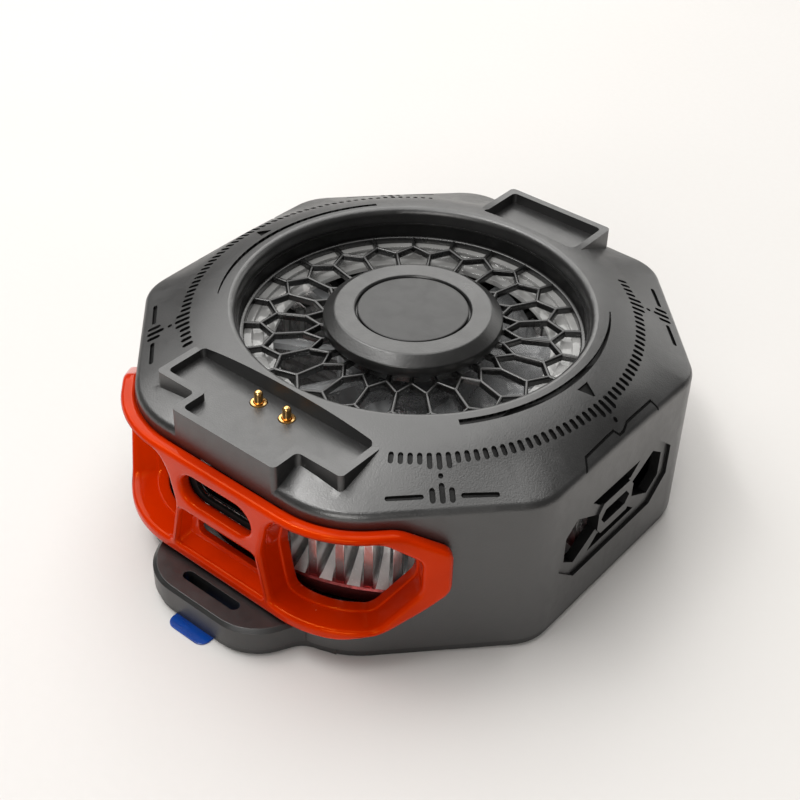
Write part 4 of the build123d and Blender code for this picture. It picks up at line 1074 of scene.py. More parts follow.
@dataclass
class Cover:
    """Black cover with vents, docks and an engraved deck."""

    shop: Workshop
    deck: Deck = field(default_factory=Deck)

    def __post_init__(self) -> None:
        """Take the finish of the cover."""
        self.finish = self.shop.finishes.get("cover")

    def groove(self, outline: Sequence[Flat], depth: Optional[float] = None) -> bpy.types.Object:
        """Cutter of one groove that follows the deck."""
        sunk = self.deck.depth if depth is None else depth
        return prism("groove", outline, self.deck.height, sunk, self.deck.above, self.finish)

    def pair(self, outline: Sequence[Flat], depth: Optional[float] = None) -> bpy.types.Object:
        """Cutter of a groove and of its twin across the axis."""
        return self.shop.ring(self.groove(outline, depth), 2, 0.0, 180.0)

    def ticks(self) -> List[bpy.types.Object]:
        """Cut the short ticks, in runs between the long ones.

        Returns:
            Their cutters.
        """
        deck = self.deck
        slot = round_slot((deck.tick_inner, 0.0), (deck.tick_outer, 0.0), deck.tick_width)
        made = []
        for middle in (0.0, 180.0):
            for first, count in deck.tick_runs:
                start = middle + first * deck.tick_step
                made.append(self.shop.ring(self.groove(slot), count, start, deck.tick_step))
        return made

    def long_ticks(self) -> List[bpy.types.Object]:
        """Cut the three longer ticks and the dot at the corners and the sides.

        Returns:
            Their cutters.
        """
        deck = self.deck
        made = []
        for angle in (0.0, 45.0, 135.0):
            marks = []
            for side, outer in deck.long_ticks:
                slot = round_slot((deck.tick_inner, 0.0), (outer, 0.0), deck.tick_width)
                marks.append(turned(slot, side * deck.tick_step))
            marks.append(round_slot(*deck.dot))
            made += [self.pair(turned(mark, angle)) for mark in marks]
        return made

    def corner_marks(self) -> List[bpy.types.Object]:
        """Cutters of the bars and dashes at the four slanting sides."""
        slots = [round_slot(*bar) for bar in self.deck.bars]
        return [self.pair(turned(slot, angle)) for slot in slots for angle in (45.0, 135.0)]

    def crescent(self) -> List[Flat]:
        """Outline of the arc beside the intake.

        Returns:
            The corners.
        """
        deck = self.deck
        outer, inner = [], []
        for step in range(deck.crescent_steps + 1):
            angle = math.radians(deck.crescent_start + deck.crescent_turn * step / deck.crescent_steps)
            share = (step / deck.crescent_steps - deck.taper_from) / deck.taper_over
            radius = deck.crescent_inner + deck.crescent_taper * max(0.0, share) ** 1.5
            outer.append((deck.crescent_outer * math.cos(angle), deck.crescent_outer * math.sin(angle)))
            inner.append((radius * math.cos(angle), radius * math.sin(angle)))
        return outer + inner[::-1]

    def side_marks(self) -> List[bpy.types.Object]:
        """Cut the pointers, arcs and stepped lines of the two sides.

        Returns:
            Their cutters.
        """
        deck = self.deck
        return [
            self.pair(deck.pointer, deck.pointer_depth),
            self.pair(self.crescent()),
            self.pair(stroke(deck.line, deck.line_width), deck.line_depth),
        ]

    def engrave(self, piece: bpy.types.Object, cutters: Sequence[bpy.types.Object], name: str) -> None:
        """Cut grooves out of a piece.

        Args:
            piece: The piece.
            cutters: Their cutters, which are removed.
            name: Name of the step.
        """
        cutter = join(name, cutters)
        cut = piece.modifiers.new(name, "BOOLEAN")
        cut.operation = "DIFFERENCE"
        cut.solver = "EXACT"
        cut.use_self = True
        cut.object = cutter
        to_plain_mesh(piece)
        discard(cutter)

    def keep_shading(self, piece: bpy.types.Object, old: "OldSurface") -> None:
        """Give the cut cover the smooth shading that it had, and mark what lies deep for painted shade.

        Args:
            piece: The cut cover.
            old: Its surface before the marks were cut.
        """
        mesh = piece.data
        mesh.calc_loop_triangles()
        widest: Dict[int, bpy.types.MeshLoopTriangle] = {}
        for triangle in mesh.loop_triangles:
            best = widest.get(triangle.polygon_index)
            if best is None or triangle.area > best.area:
                widest[triangle.polygon_index] = triangle
        mask = mesh.attributes.new(self.deck.mask, "FLOAT", "FACE")
        kept = {}
        for number, triangle in widest.items():
            centre = self.middle(mesh, triangle)
            kept[number] = old.holds(centre, triangle.normal)
            x, y, z = (value / MM for value in centre)
            outwards = Vector((x, y, 0.0)).normalized().dot(triangle.normal)
            # Inner walls, the well and the groove floors count as deep and get painted shade in the material
            inside = z < self.deck.wall_top and outwards < self.deck.upright
            groove = not kept[number] and self.deck.height(x, y) - z > self.deck.shallow
            deep = inside or math.hypot(x, y) < self.deck.well_radius or groove
            mask.data[number].value = float(deep)
        normals = [(0.0, 0.0, 0.0)] * len(mesh.loops)
        for triangle in mesh.loop_triangles:
            centre = self.middle(mesh, triangle)
            for vertex, corner in zip(triangle.vertices, triangle.loops):
                corner_place = mesh.vertices[vertex].co
                reach = (centre - corner_place).length / MM
                share = min(self.deck.nudge_share, self.deck.nudge / max(reach, self.deck.nudge))
                place = corner_place.lerp(centre, share)
                normal = old.normal(place) if kept[triangle.polygon_index] else triangle.normal
                normals[corner] = tuple(normal)
        mesh.shade_smooth()
        mesh.normals_split_custom_set(normals)

    @staticmethod
    def middle(mesh: bpy.types.Mesh, triangle: bpy.types.MeshLoopTriangle) -> Vector:
        """Middle of one of a mesh's triangles."""
        return sum((mesh.vertices[vertex].co for vertex in triangle.vertices), Vector()) / 3.0

    def build(self) -> None:
        """Build and dress the cover."""
        piece = node_copy("top_cover", "engraved_cover", self.finish)
        soften(piece, Edge.SOFT, 36.0)
        to_plain_mesh(piece)
        old = OldSurface(piece.data, self.deck)
        cutters = self.ticks() + self.long_ticks() + self.corner_marks() + self.side_marks()
        self.engrave(piece, cutters, "marks")
        self.keep_shading(piece, old)
        self.shop.stand_for(piece, "top_cover")


class OldSurface:
    """The cover's surface before its marks were cut, with its smooth shading."""

    nearest = 0.01 * MM
    same_way = 0.97
    near_way = 0.93

    def __init__(self, mesh: bpy.types.Mesh, deck: Deck) -> None:
        """Take down the surface.

        Args:
            mesh: The uncut cover.
            deck: Sizes of its deck, where the shading is worked out exactly.
        """
        mesh.calc_loop_triangles()
        self.places = [vert.co.copy() for vert in mesh.vertices]
        self.triangles = [(tuple(one.vertices), tuple(one.loops)) for one in mesh.loop_triangles]
        self.tree = BVHTree.FromPolygons(self.places, [verts for verts, _ in self.triangles])
        self.given = [self.exact(deck, mesh.vertices[loop.vertex_index].co / MM, Vector(corner.vector))
                      for loop, corner in zip(mesh.loops, mesh.corner_normals)]

    @staticmethod
    def exact(deck: Deck, place: Vector, normal: Vector) -> Vector:
        """Normal of a corner, exact on the deck.

        Args:
            deck: Sizes of the deck.
            place: Place of the corner in millimetres.
            normal: Its normal in the mesh.

        Returns:
            The normal to use.
        """
        x, y, z = place
        off_deck = math.hypot(x, y) < deck.crown_radius or z < deck.edge_z
        if off_deck or abs(z - deck.height(x, y)) > deck.on_deck:
            return normal
        step = deck.slope_step
        across = deck.height(x + step, y) - deck.height(x - step, y)
        along = deck.height(x, y + step) - deck.height(x, y - step)
        true = Vector((-across, -along, 2.0 * step)).normalized()
        return true if normal.dot(true) > OldSurface.near_way else normal

    def holds(self, place: Vector, normal: Vector) -> bool:
        """Tell whether a face is still part of the uncut surface."""
        _, facing, _, distance = self.tree.find_nearest(place)
        return distance < self.nearest and facing.dot(normal) > self.same_way

    def normal(self, place: Vector) -> Vector:
        """Smooth normal of the uncut surface next to a place.

        Args:
            place: The place in metres.

        Returns:
            The normal.
        """
        spot, _, index, _ = self.tree.find_nearest(place)
        verts, loops = self.triangles[index]
        corners = [self.places[vert] for vert in verts] + [self.given[loop] for loop in loops]
        return barycentric_transform(spot, *corners).normalized()


# Orange bezel


@dataclass
class FrontWall:
    """Path of the body's front: a flat middle, two rounded corners and two slanting sides."""

    half_length: float = 31.4
    corner_x: float = 14.1
    corner_radius: float = 12.0
    side_end: Flat = (30.0, -14.6)
    corner_steps: int = 14

    def __post_init__(self) -> None:
        """Work out the slanting side."""
        run = Vector((self.side_end[0] - self.corner_x, self.side_end[1] + self.half_length)).normalized()
        self.along, self.out = run, Vector((run.y, -run.x))
        self.turn = math.atan2(run.y, run.x)
        self.reach = self.corner_radius * math.tan(self.turn / 2.0)

    def place(self, run: float, offset: float) -> Flat:
        """Point of the wall seen from above.

        Args:
            run: Distance from the middle, measured over the sharp corner.
            offset: Distance out of the wall.

        Returns:
            The point in millimetres.
        """
        side, far = math.copysign(1.0, run), abs(run)
        past = far - self.corner_x
        if past <= -self.reach:
            return (run, -self.half_length - offset)
        if past >= self.reach:
            spot = Vector((self.corner_x, -self.half_length)) + self.along * past + self.out * offset
            return (side * spot.x, spot.y)
        angle = self.turn * (past + self.reach) / (2.0 * self.reach)
        radius = self.corner_radius + offset
        across = self.corner_x - self.reach + radius * math.sin(angle)
        return (side * across, self.corner_radius - self.half_length - radius * math.cos(angle))

    def bend(self, shape: bmesh.types.BMesh, middle: float) -> None:
        """Lay a flat plate round the wall.

        Args:
            shape: Plate with its length on X, its height on Y and its thickness on Z, in metres.
            middle: Distance of its middle plane out of the wall, in millimetres.
        """
        for side in (-1.0, 1.0):
            for step in range(self.corner_steps + 1):
                run = self.corner_x + self.reach * (2.0 * step / self.corner_steps - 1.0)
                bmesh.ops.bisect_plane(
                    shape, geom=shape.verts[:] + shape.edges[:] + shape.faces[:], dist=1e-7,
                    plane_co=(side * run * MM, 0.0, 0.0), plane_no=(1.0, 0.0, 0.0),
                )
        for vert in shape.verts:
            run, height, depth = vert.co
            x, y = self.place(run / MM, middle + depth / MM)
            vert.co = (x * MM, y * MM, height)


def rounded(corners: Sequence[Flat], radius: float, steps: int = 5) -> List[Flat]:
    """Outline with its corners rounded.

    Args:
        corners: The corners.
        radius: How far from a corner its rounding starts.
        steps: Steps of each rounding.

    Returns:
        The new outline.
    """
    made = []
    for index, corner in enumerate(corners):
        here = Vector(corner)
        ends = []
        for other in (corners[index - 1], corners[(index + 1) % len(corners)]):
            way = Vector(other) - here
            ends.append(here + way.normalized() * min(radius, 0.45 * way.length))
        for step in range(steps + 1):
            share = step / steps
            spot = ends[0] * (1 - share) ** 2 + here * 2 * share * (1 - share) + ends[1] * share ** 2
            made.append((spot.x, spot.y))
    return made


def grown(corners: Sequence[Flat], by: float, least: float = 0.3) -> List[Flat]:
    """Outline moved outwards.

    Args:
        corners: The corners.
        by: Distance.
        least: Least cosine that a sharp corner counts with.

    Returns:
        The new corners.
    """
    count = len(corners)
    area = sum(corners[i][0] * corners[(i + 1) % count][1] - corners[(i + 1) % count][0] * corners[i][1]
               for i in range(count))
    made = []
    for index, corner in enumerate(corners):
        before = (Vector(corner) - Vector(corners[index - 1])).normalized()
        after = (Vector(corners[(index + 1) % count]) - Vector(corner)).normalized()
        normals = [Vector((way.y, -way.x)) * math.copysign(1.0, area) for way in (before, after)]
        middle = (normals[0] + normals[1]).normalized()
        spot = Vector(corner) + middle * (by / max(least, middle.dot(normals[0])))
        made.append((spot.x, spot.y))
    return made


@dataclass
class Bezel:
    """Orange bezel, laid round the front wall with its windows and slots."""

    shop: Workshop
    wall: FrontWall = field(default_factory=FrontWall)
    low: float = 4.3
    high: float = 19.4
    proud: float = 1.7
    rounding: float = 0.55
    window_low: float = 6.1
    window_high: float = 18.15
    frame_far: float = -1.3
    core_far: float = -2.75
    skirt_low: float = 3.2
    slot_middle: float = 15.5
    slot_half: Flat = (5.2, 2.05)
    shell_half: Flat = (4.47, 1.63)
    panel: Tuple[Flat, ...] = ((-4.65, 7.8), (4.65, 7.8), (4.5, 11.2), (-4.5, 11.2))
    panel_far: float = -0.8
    gap: float = 0.2
    frame_by: float = 0.85
    frame_near: float = 0.55
    core_by: float = -0.05
    core_rounding: float = 0.22

    def silhouette(self) -> List[Flat]:
        """Outline of the whole bezel.

        Returns:
            The corners.
        """
        corner = self.wall.corner_x
        right = [(corner + 1.5, self.low), (corner + 6.2, 5.3), (corner + 10.6, 8.5), (corner + 13.3, 10.9),
                 (corner + 13.3, 16.4), (corner + 7.7, self.high)]
        return rounded(right + [(-run, z) for run, z in reversed(right)], 1.1)

    def window(self, side: float, by: float) -> List[Flat]:
        """Outline of a side window.

        Args:
            side: 1 for the right window, -1 for the left one.
            by: How far it is grown.

        Returns:
            The outline.
        """
        corner = self.wall.corner_x
        shape = [(7.8, self.window_low), (corner + 5.4, self.window_low), (corner + 9.9, 11.2),
                 (corner + 9.9, 15.4), (corner + 5.9, self.window_high), (8.7, self.window_high), (7.5, 16.6),
                 (6.5, 12.4), (7.3, 8.2)]
        return [(side * run, z) for run, z in rounded(grown(shape, by), 0.9)]

    def tray(self, by: float, raised: float = 0.0) -> List[Flat]:
        """Outline of the lower window."""
        shape = grown([(-6.8, 6.0), (6.8, 6.0), (5.55, 11.8), (-5.55, 11.8)], by)
        return rounded([(run, z + (raised if z < 9.0 else 0.0)) for run, z in shape], 0.6)

    def slot(self) -> List[Flat]:
        """Outline of the socket's slot, with round ends."""
        half, tall = self.slot_half
        return round_slot((-half, self.slot_middle), (half, self.slot_middle), 2.0 * tall, 12)

    def plate(self, outline: Sequence[Flat], holes: Sequence[Sequence[Flat]], far: float, near: float,
              rounding: float, finish: str = "bezel") -> bpy.types.Object:
        """Plate with holes, laid round the wall.

        Args:
            outline: Its outline, as distance from the middle and height.
            holes: Outlines of its holes.
            far: Distance of its inner face out of the wall.
            near: Distance of its outer face out of the wall.
            rounding: Radius of its edges.
            finish: Key of its finish.

        Returns:
            The plate.
        """
        curve = bpy.data.curves.new("plate", "CURVE")
        curve.dimensions = "2D"
        curve.fill_mode = "BOTH"
        curve.extrude = ((near - far) / 2.0 - rounding) * MM
        curve.bevel_depth = rounding * MM
        curve.bevel_resolution = 3
        curve.offset = -rounding * MM
        for loop in (outline, *holes):
            spline = curve.splines.new("POLY")
            spline.points.add(len(loop) - 1)
            spline.use_cyclic_u = True
            for point, (run, z) in zip(spline.points, loop):
                point.co = (run * MM, z * MM, 0.0, 1.0)
        flat = drawn(curve)
        shape = bmesh.new()
        shape.from_mesh(flat)
        bpy.data.meshes.remove(flat)
        bmesh.ops.remove_doubles(shape, verts=shape.verts, dist=0.001 * MM)
        self.wall.bend(shape, (near + far) / 2.0)
        bmesh.ops.recalc_face_normals(shape, faces=shape.faces)
        return object_from(shape, "plate", self.shop.finishes.get(finish))

    def sill(self) -> bpy.types.Object:
        """Sloping walls of the lower window.

        Returns:
            The walls.
        """
        rows = [[(*self.wall.place(run, offset), z) for run, z in outline] for outline, offset in (
            (self.tray(0.02), 1.15), (self.tray(-0.55, 0.55), -0.05), (self.tray(0.2), -0.05))]
        return skin("sill", rows, self.shop.finishes.get("bezel"), closed=True)

    def build(self) -> None:
        """Build and dress the bezel."""
        windows = [self.window(side, self.gap) for side in (-1.0, 1.0)]
        pieces = [self.plate(self.silhouette(), windows + [self.tray(0.0), self.slot()], 0.0, self.proud,
                             self.rounding)]
        for side in (-1.0, 1.0):
            outline = self.window(side, self.frame_by)
            opening = self.window(side, self.gap)
            pieces.append(self.plate(outline, [opening], self.frame_far, self.frame_near, 0.0))
            skirt = [(run, self.skirt_low if z < self.window_low else z) for run, z in outline]
            core = self.window(side, self.core_by)
            pieces.append(self.plate(skirt, [core], self.core_far, self.frame_far, self.core_rounding))
        panel = rounded(self.panel, 0.7)
        pieces.append(self.plate(self.tray(self.gap), [panel], self.panel_far, 0.0, 0.12))
        pieces.append(self.sill())
        piece = join("rounded_bezel", pieces)
        self.shop.stand_for(piece, "orange_bezel", smooth=40.0)
        half, tall = self.shell_half
        shell = round_slot((-half, self.slot_middle), (half, self.slot_middle), 2.0 * tall, 10)
        collar = self.plate(grown(self.slot(), 0.4), [shell], -0.45, -0.02, 0.06, "void")
        collar.name = "socket_collar"
        soften(collar, Edge.SHARP, 40.0)
        self.shop.ride(collar, "usb_tongue")


# Intake: grille, cap and clear ring


@dataclass
class Intake:
    """Web grille with the hub cap over it and the clear ring under it."""

    shop: Workshop
    cells: int = 24
    first_angle: float = 8.8
    low: float = 20.7
    high: float = 21.5
    rim_outer: float = 20.3
    rim_inner: float = 19.8
    tip: float = 17.908
    outer_shoulder: float = 16.3
    inner_shoulder: float = 12.8
    root: float = 10.908
    hub: float = 9.8
    rib_width: float = 0.5
    rib_edge: float = 0.26
    rib_overlap: float = 0.12
    cap: Tuple[Flat, ...] = (
        (0.0, 21.5), (10.0, 21.5), (10.0, 22.0), (10.42, 22.0), (10.52, 22.04), (10.56, 22.14),
        (10.56, 23.08), (10.53, 23.2), (10.45, 23.29), (9.36, 24.09), (9.27, 24.15), (9.16, 24.19),
        (9.05, 24.2), (7.02, 24.2), (6.92, 24.18), (6.86, 24.12), (6.74, 23.95), (6.74, 23.5),
        (0.0, 23.5),
    )
    disc: Tuple[Flat, ...] = (
        (0.0, 23.5), (6.5, 23.5), (6.55, 23.55), (6.55, 23.93), (6.52, 24.0), (6.45, 24.04),
        (6.35, 24.05), (0.0, 24.05),
    )
    ring: Tuple[Flat, ...] = (
        (20.3, 19.05), (20.3, 20.68), (18.98, 20.68), (18.9, 20.6), (18.9, 20.26), (18.82, 20.2),
        (17.68, 20.2), (17.6, 20.12), (17.6, 19.76), (17.52, 19.7), (16.48, 19.7), (16.4, 19.62),
        (16.4, 19.1), (16.5, 19.02), (20.2, 19.02),
    )

    def rib(self, start: Flat, end: Flat) -> bpy.types.Object:
        """One bar of the web, with its top edges taken off.

        Args:
            start: Middle of one end seen from above.
            end: Middle of the other end.

        Returns:
            The bar.
        """
        along = Vector((end[0] - start[0], end[1] - start[1])).normalized()
        side = Vector((-along.y, along.x))
        half, cut = self.rib_width / 2.0, self.rib_edge
        shoulder, crest = 0.75 * half, self.high - 0.25 * cut
        profile = [(-half, self.low), (half, self.low), (half, self.high - cut), (shoulder, crest),
                   (0.0, self.high), (-shoulder, crest), (-half, self.high - cut)]
        rows = []
        for tip, push in ((start, -self.rib_overlap), (end, self.rib_overlap)):
            spot = Vector(tip) + along * push
            rows.append([(spot.x + side.x * a, spot.y + side.y * a, z) for a, z in profile])
        return skin("rib", rows, self.shop.finishes.get("grille"))

    def build_grille(self) -> None:
        """Build the web from one cell's bars, repeated round the axis."""
        half = 180.0 / self.cells

        def spot(radius: float, step: float) -> Flat:
            """Place on the cell's outline, step counting half cells."""
            return turned([(radius, 0.0)], self.first_angle + step * half)[0]

        bars = [
            (spot(self.rim_inner, 0), spot(self.tip, 0)),
            (spot(self.tip, 0), spot(self.outer_shoulder, 1)),
            (spot(self.tip, 0), spot(self.outer_shoulder, -1)),
            (spot(self.outer_shoulder, 1), spot(self.inner_shoulder, 1)),
            (spot(self.inner_shoulder, 1), spot(self.root, 0)),
            (spot(self.inner_shoulder, -1), spot(self.root, 0)),
            (spot(self.root, 0), spot(self.hub, 0)),
        ]
        cell = join("web_cell", [self.rib(start, end) for start, end in bars])
        web = self.shop.ring(cell, self.cells)
        finish = self.shop.finishes.get("grille")
        rim = lathe("rim", [
            (self.rim_inner, self.low), (self.rim_outer, self.low), (self.rim_outer, self.high),
            (self.rim_inner + 0.12, self.high), (self.rim_inner, self.high - 0.12),
        ], finish)
        hub = lathe("hub", [(0.0, self.low), (self.hub, self.low), (self.hub, self.high), (0.0, self.high)],
                    finish, 96)
        piece = join("web_grille", [web, rim, hub])
        self.shop.stand_for(piece, "intake_grille", smooth=58.0)

    def build(self) -> None:
        """Build and dress the intake."""
        self.build_grille()
        for name, outline, finish, node, smooth in (
            ("rounded_hub_cap", self.cap, "cap", "hub_cap", 40.0),
            ("cap_disc", self.disc, "disc", "hub_disc", 40.0),
            ("clear_ring", self.ring, "clear", "fan_shroud", 50.0),
        ):
            piece = lathe(name, outline, self.shop.finishes.get(finish))
            self.shop.stand_for(piece, node, smooth=smooth)


# Fan and motor


@dataclass
class Fan:
    """Impeller with its rotor, and the motor under it."""

    shop: Workshop

    def build(self) -> None:
        """Build and dress the fan."""
        self.shop.redress("fan_impeller", "smoky_impeller", "smoke", Edge.CRISP, Body.ROTOR, 38.0)
        self.shop.paint({
            "steel": ["rotor_yoke", "fan_shaft"], "ferrite": ["rotor_magnet"], "nylon": ["shaft_clip"],
            "bracket": ["fan_bracket"], "bronze": ["bearing_sleeve"], "lamination": ["stator_core"],
            "copper": ["stator_coils"], "board": ["motor_board"],
        })


# Cooling stack


@dataclass
class CoolingStack:
    """Finned heat sink, cooling module and magnets."""

    shop: Workshop
    pairs: int = 54
    plate_low: float = 3.6
    plate_high: float = 5.6
    radius: float = 28.0
    fin_outer: float = 27.6
    fin_inner: float = 21.9
    fin_top: float = 12.0
    low_inner: float = 12.0
    low_height: float = 2.0
    fin_width: float = 1.1
    fin_rounding: float = 0.18
    sunk: float = 0.05
    touch: float = 1e-6
    ramp: Tuple[Point, ...] = (
        (27.75, 5.62, 1.5), (26.9, 6.0, 1.2), (23.9, 7.4, 0.75), (23.0, 9.6, 0.7), (22.6, 12.0, 0.7),
        (21.9, 12.0, 0.7),
    )

    def upright_fin(self) -> bpy.types.Object:
        """Long fin with an upright, rounded end.

        Returns:
            The fin.
        """
        half = self.fin_width / 2.0
        foot, step = self.plate_high - self.sunk, self.plate_high + self.low_height
        side = [(self.low_inner, foot), (self.fin_outer, foot), (self.fin_outer, self.fin_top),
                (self.fin_inner, self.fin_top), (self.fin_inner, step), (self.low_inner, step)]
        piece = skin("upright_fin", [[(x, y, z) for x, z in side] for y in (-half, half)],
                     self.shop.finishes.get("cut"))
        shape = bmesh.new()
        shape.from_mesh(piece.data)
        ends = [edge for edge in shape.edges
                if all(abs(vert.co.x - self.fin_outer * MM) < self.touch for vert in edge.verts)
                and abs(edge.verts[0].co.z - edge.verts[1].co.z) > MM]
        tops = [edge for edge in shape.edges
                if all(abs(vert.co.z - self.fin_top * MM) < self.touch for vert in edge.verts)]
        bmesh.ops.bevel(shape, geom=ends + tops, offset=self.fin_rounding * MM, segments=2, profile=0.5,
                        affect="EDGES")
        shape.to_mesh(piece.data)
        shape.free()
        return piece

    def slanting_fin(self) -> bpy.types.Object:
        """Cast fin whose end runs up as a ramp that narrows inwards.

        Returns:
            The fin.
        """
        foot = self.plate_high - self.sunk
        rows = []
        for outer, z, width in self.ramp:
            half = width / 2
            rows.append([(outer, -half, z), (outer, half, z), (outer, half, foot), (outer, -half, foot)])
        return skin("slanting_fin", rows, self.shop.finishes.get("cast"))

    def build_sink(self) -> None:
        """Build the heat sink from its plate and two rings of fins."""
        plate = lathe("sink_plate", [
            (0.0, self.plate_low), (self.radius - 0.15, self.plate_low), (self.radius, self.plate_low + 0.15),
            (self.radius, self.plate_high - 0.2), (self.radius - 0.2, self.plate_high),
            (0.0, self.plate_high),
        ], self.shop.finishes.get("cut"))
        upright = self.shop.ring(self.upright_fin(), self.pairs)
        slanting = self.shop.ring(self.slanting_fin(), self.pairs, 180.0 / self.pairs)
        piece = join("finned_heat_sink", [plate, upright])
        self.shop.stand_for(piece, "heat_sink", smooth=30.0)
        slanting.name = "slanting_fins"
        soften(slanting, Edge.SHARP, 30.0)
        self.shop.ride(slanting, "heat_sink")

    def build(self) -> None:
        """Build and dress the cooling stack."""
        self.build_sink()
        self.shop.redress("protective_film", "pull_off_film", "film", Edge.CRISP)
        self.shop.paint({
            "screw": ["heat_sink_screws"], "ceramic": ["peltier_hot_plate", "peltier_cold_plate"],
            "pellet": ["peltier_pellets"], "foam": ["peltier_gasket"], "plate": ["cold_plate"],
            "nickel": ["magnet_ring"], "steel": ["magnet_shield"], "silicone": ["contact_pad"],
        })


# Base


@dataclass
class Base:
    """Base with its slotted tab and the screws that hold the cover."""

    shop: Workshop

    def build(self) -> None:
        """Build and dress the base."""
        self.shop.redress("base_cover", "rounded_base", "base", Edge.SOFT)
        self.shop.paint({"screw": ["cover_screws"]})


# Electronics


@dataclass
class Electronics:
    """Boards, socket and sprung contacts under the front dock."""

    shop: Workshop
    pin_places: Tuple[Flat, Flat] = ((-2.08, -23.7), (2.08, -23.7))
    pin_low: float = 19.68
    pin_high: float = 24.6
    pin_radius: float = 0.54
    tip_radius: float = 0.5
    tip_height: float = 0.42
    barrel: Tuple[Flat, ...] = (
        (0.0, 17.18), (0.85, 17.18), (0.85, 21.3), (0.95, 21.3), (0.95, 23.02), (0.87, 23.1),
        (0.63, 23.1), (0.57, 23.04), (0.57, 21.2), (0.6, 21.14), (0.6, 17.78), (0.0, 17.78),
    )
    spring_low: float = 17.78
    spring_turns: int = 5
    spring_radius: float = 0.36
    wire_radius: float = 0.06
    travel: float = 1.2
    wire_steps: int = 16
    tongue_z: float = 15.5
    strips: int = 12
    strip: Tuple[Flat, ...] = ((-0.12, -29.9), (0.12, -29.9), (0.12, -26.0), (-0.12, -26.0))
    strip_off: float = 0.36
    strip_half: float = 0.03
    strip_first: Point = (-2.75, 0.0, 0.0)
    strip_step: Point = (0.5, 0.0, 0.0)

    def build_pins(self) -> None:
        """Build the two sprung pins."""
        for place, node, name, body in (
            (self.pin_places[0], "pogo_pin_left", "left_pin", Body.LEFT_CONTACT),
            (self.pin_places[1], "pogo_pin_right", "right_pin", Body.RIGHT_CONTACT),
        ):
            dome = self.pin_high - self.tip_height
            tip = [(self.tip_radius * math.cos(turn), dome + self.tip_height * math.sin(turn))
                   for turn in (math.pi / 2 * step / 8 for step in range(8))]
            foot = [(0.0, self.pin_low), (self.pin_radius, self.pin_low),
                    (self.pin_radius, self.pin_low + 1.3), (self.tip_radius, self.pin_low + 1.4)]
            outline = foot + tip + [(0.0, self.pin_high)]
            pin = lathe(name, outline, self.shop.finishes.get("gold"), 48, place)
            self.shop.stand_for(pin, node, body, smooth=40.0)

    def build_barrels(self) -> None:
        """Build the barrels that guide the pins."""
        gold = self.shop.finishes.get("gold")
        barrels = [lathe("barrel", self.barrel, gold, 48, place) for place in self.pin_places]
        self.shop.stand_for(join("contact_barrels", barrels), "pogo_barrels", smooth=40.0)

    def build_springs(self) -> None:
        """Build the coil springs."""
        height = self.pin_low - self.spring_low
        for place, node, name, joint in (
            (self.pin_places[0], "pogo_spring_left", "left_spring", "pogo_left_press"),
            (self.pin_places[1], "pogo_spring_right", "right_spring", "pogo_right_press"),
        ):
            curve = bpy.data.curves.new(name, "CURVE")
            curve.dimensions = "3D"
            curve.bevel_depth = self.wire_radius * MM
            curve.bevel_resolution = 2
            steps = self.spring_turns * self.wire_steps
            spline = curve.splines.new("POLY")
            spline.points.add(steps)
            for step in range(steps + 1):
                turn = 2.0 * math.pi * step / self.wire_steps
                rise = self.spring_low + self.wire_radius + (height - 2 * self.wire_radius) * step / steps
                spline.points[step].co = (
                    (place[0] + self.spring_radius * math.cos(turn)) * MM,
                    (place[1] + self.spring_radius * math.sin(turn)) * MM, rise * MM, 1.0)
            piece = add_object(name, drawn(curve), self.shop.finishes.get("steel"))
            self.shop.stand_for(piece, node, smooth=60.0)
            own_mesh(piece)

    def build_socket(self) -> None:
        """Build the socket's shell and its tongue with contact strips."""
        self.shop.redress("usb_shell", "socket_shell", "shell", Edge.CRISP)
        self.shop.redress("usb_tongue", "socket_tongue", "void", Edge.CRISP)
        for side, name in ((1.0, "upper_strips"), (-1.0, "lower_strips")):
            level = self.tongue_z + side * self.strip_off
            strip = prism(name, self.strip, lambda x, y: level, self.strip_half, self.strip_half,
                          self.shop.finishes.get("gold"))
            strips = self.shop.row(strip, self.strips, self.strip_first, self.strip_step)
            self.shop.ride(strips, "pogo_barrels")

    def build(self) -> None:
        """Build and dress the electronics."""
        self.build_pins()
        self.build_barrels()
        self.build_springs()
        self.build_socket()
        self.shop.paint({
            "board": ["main_board"], "screw": ["board_screws"], "chip": ["board_chips"],
            "block": ["pogo_housing"],
        })


# Studio


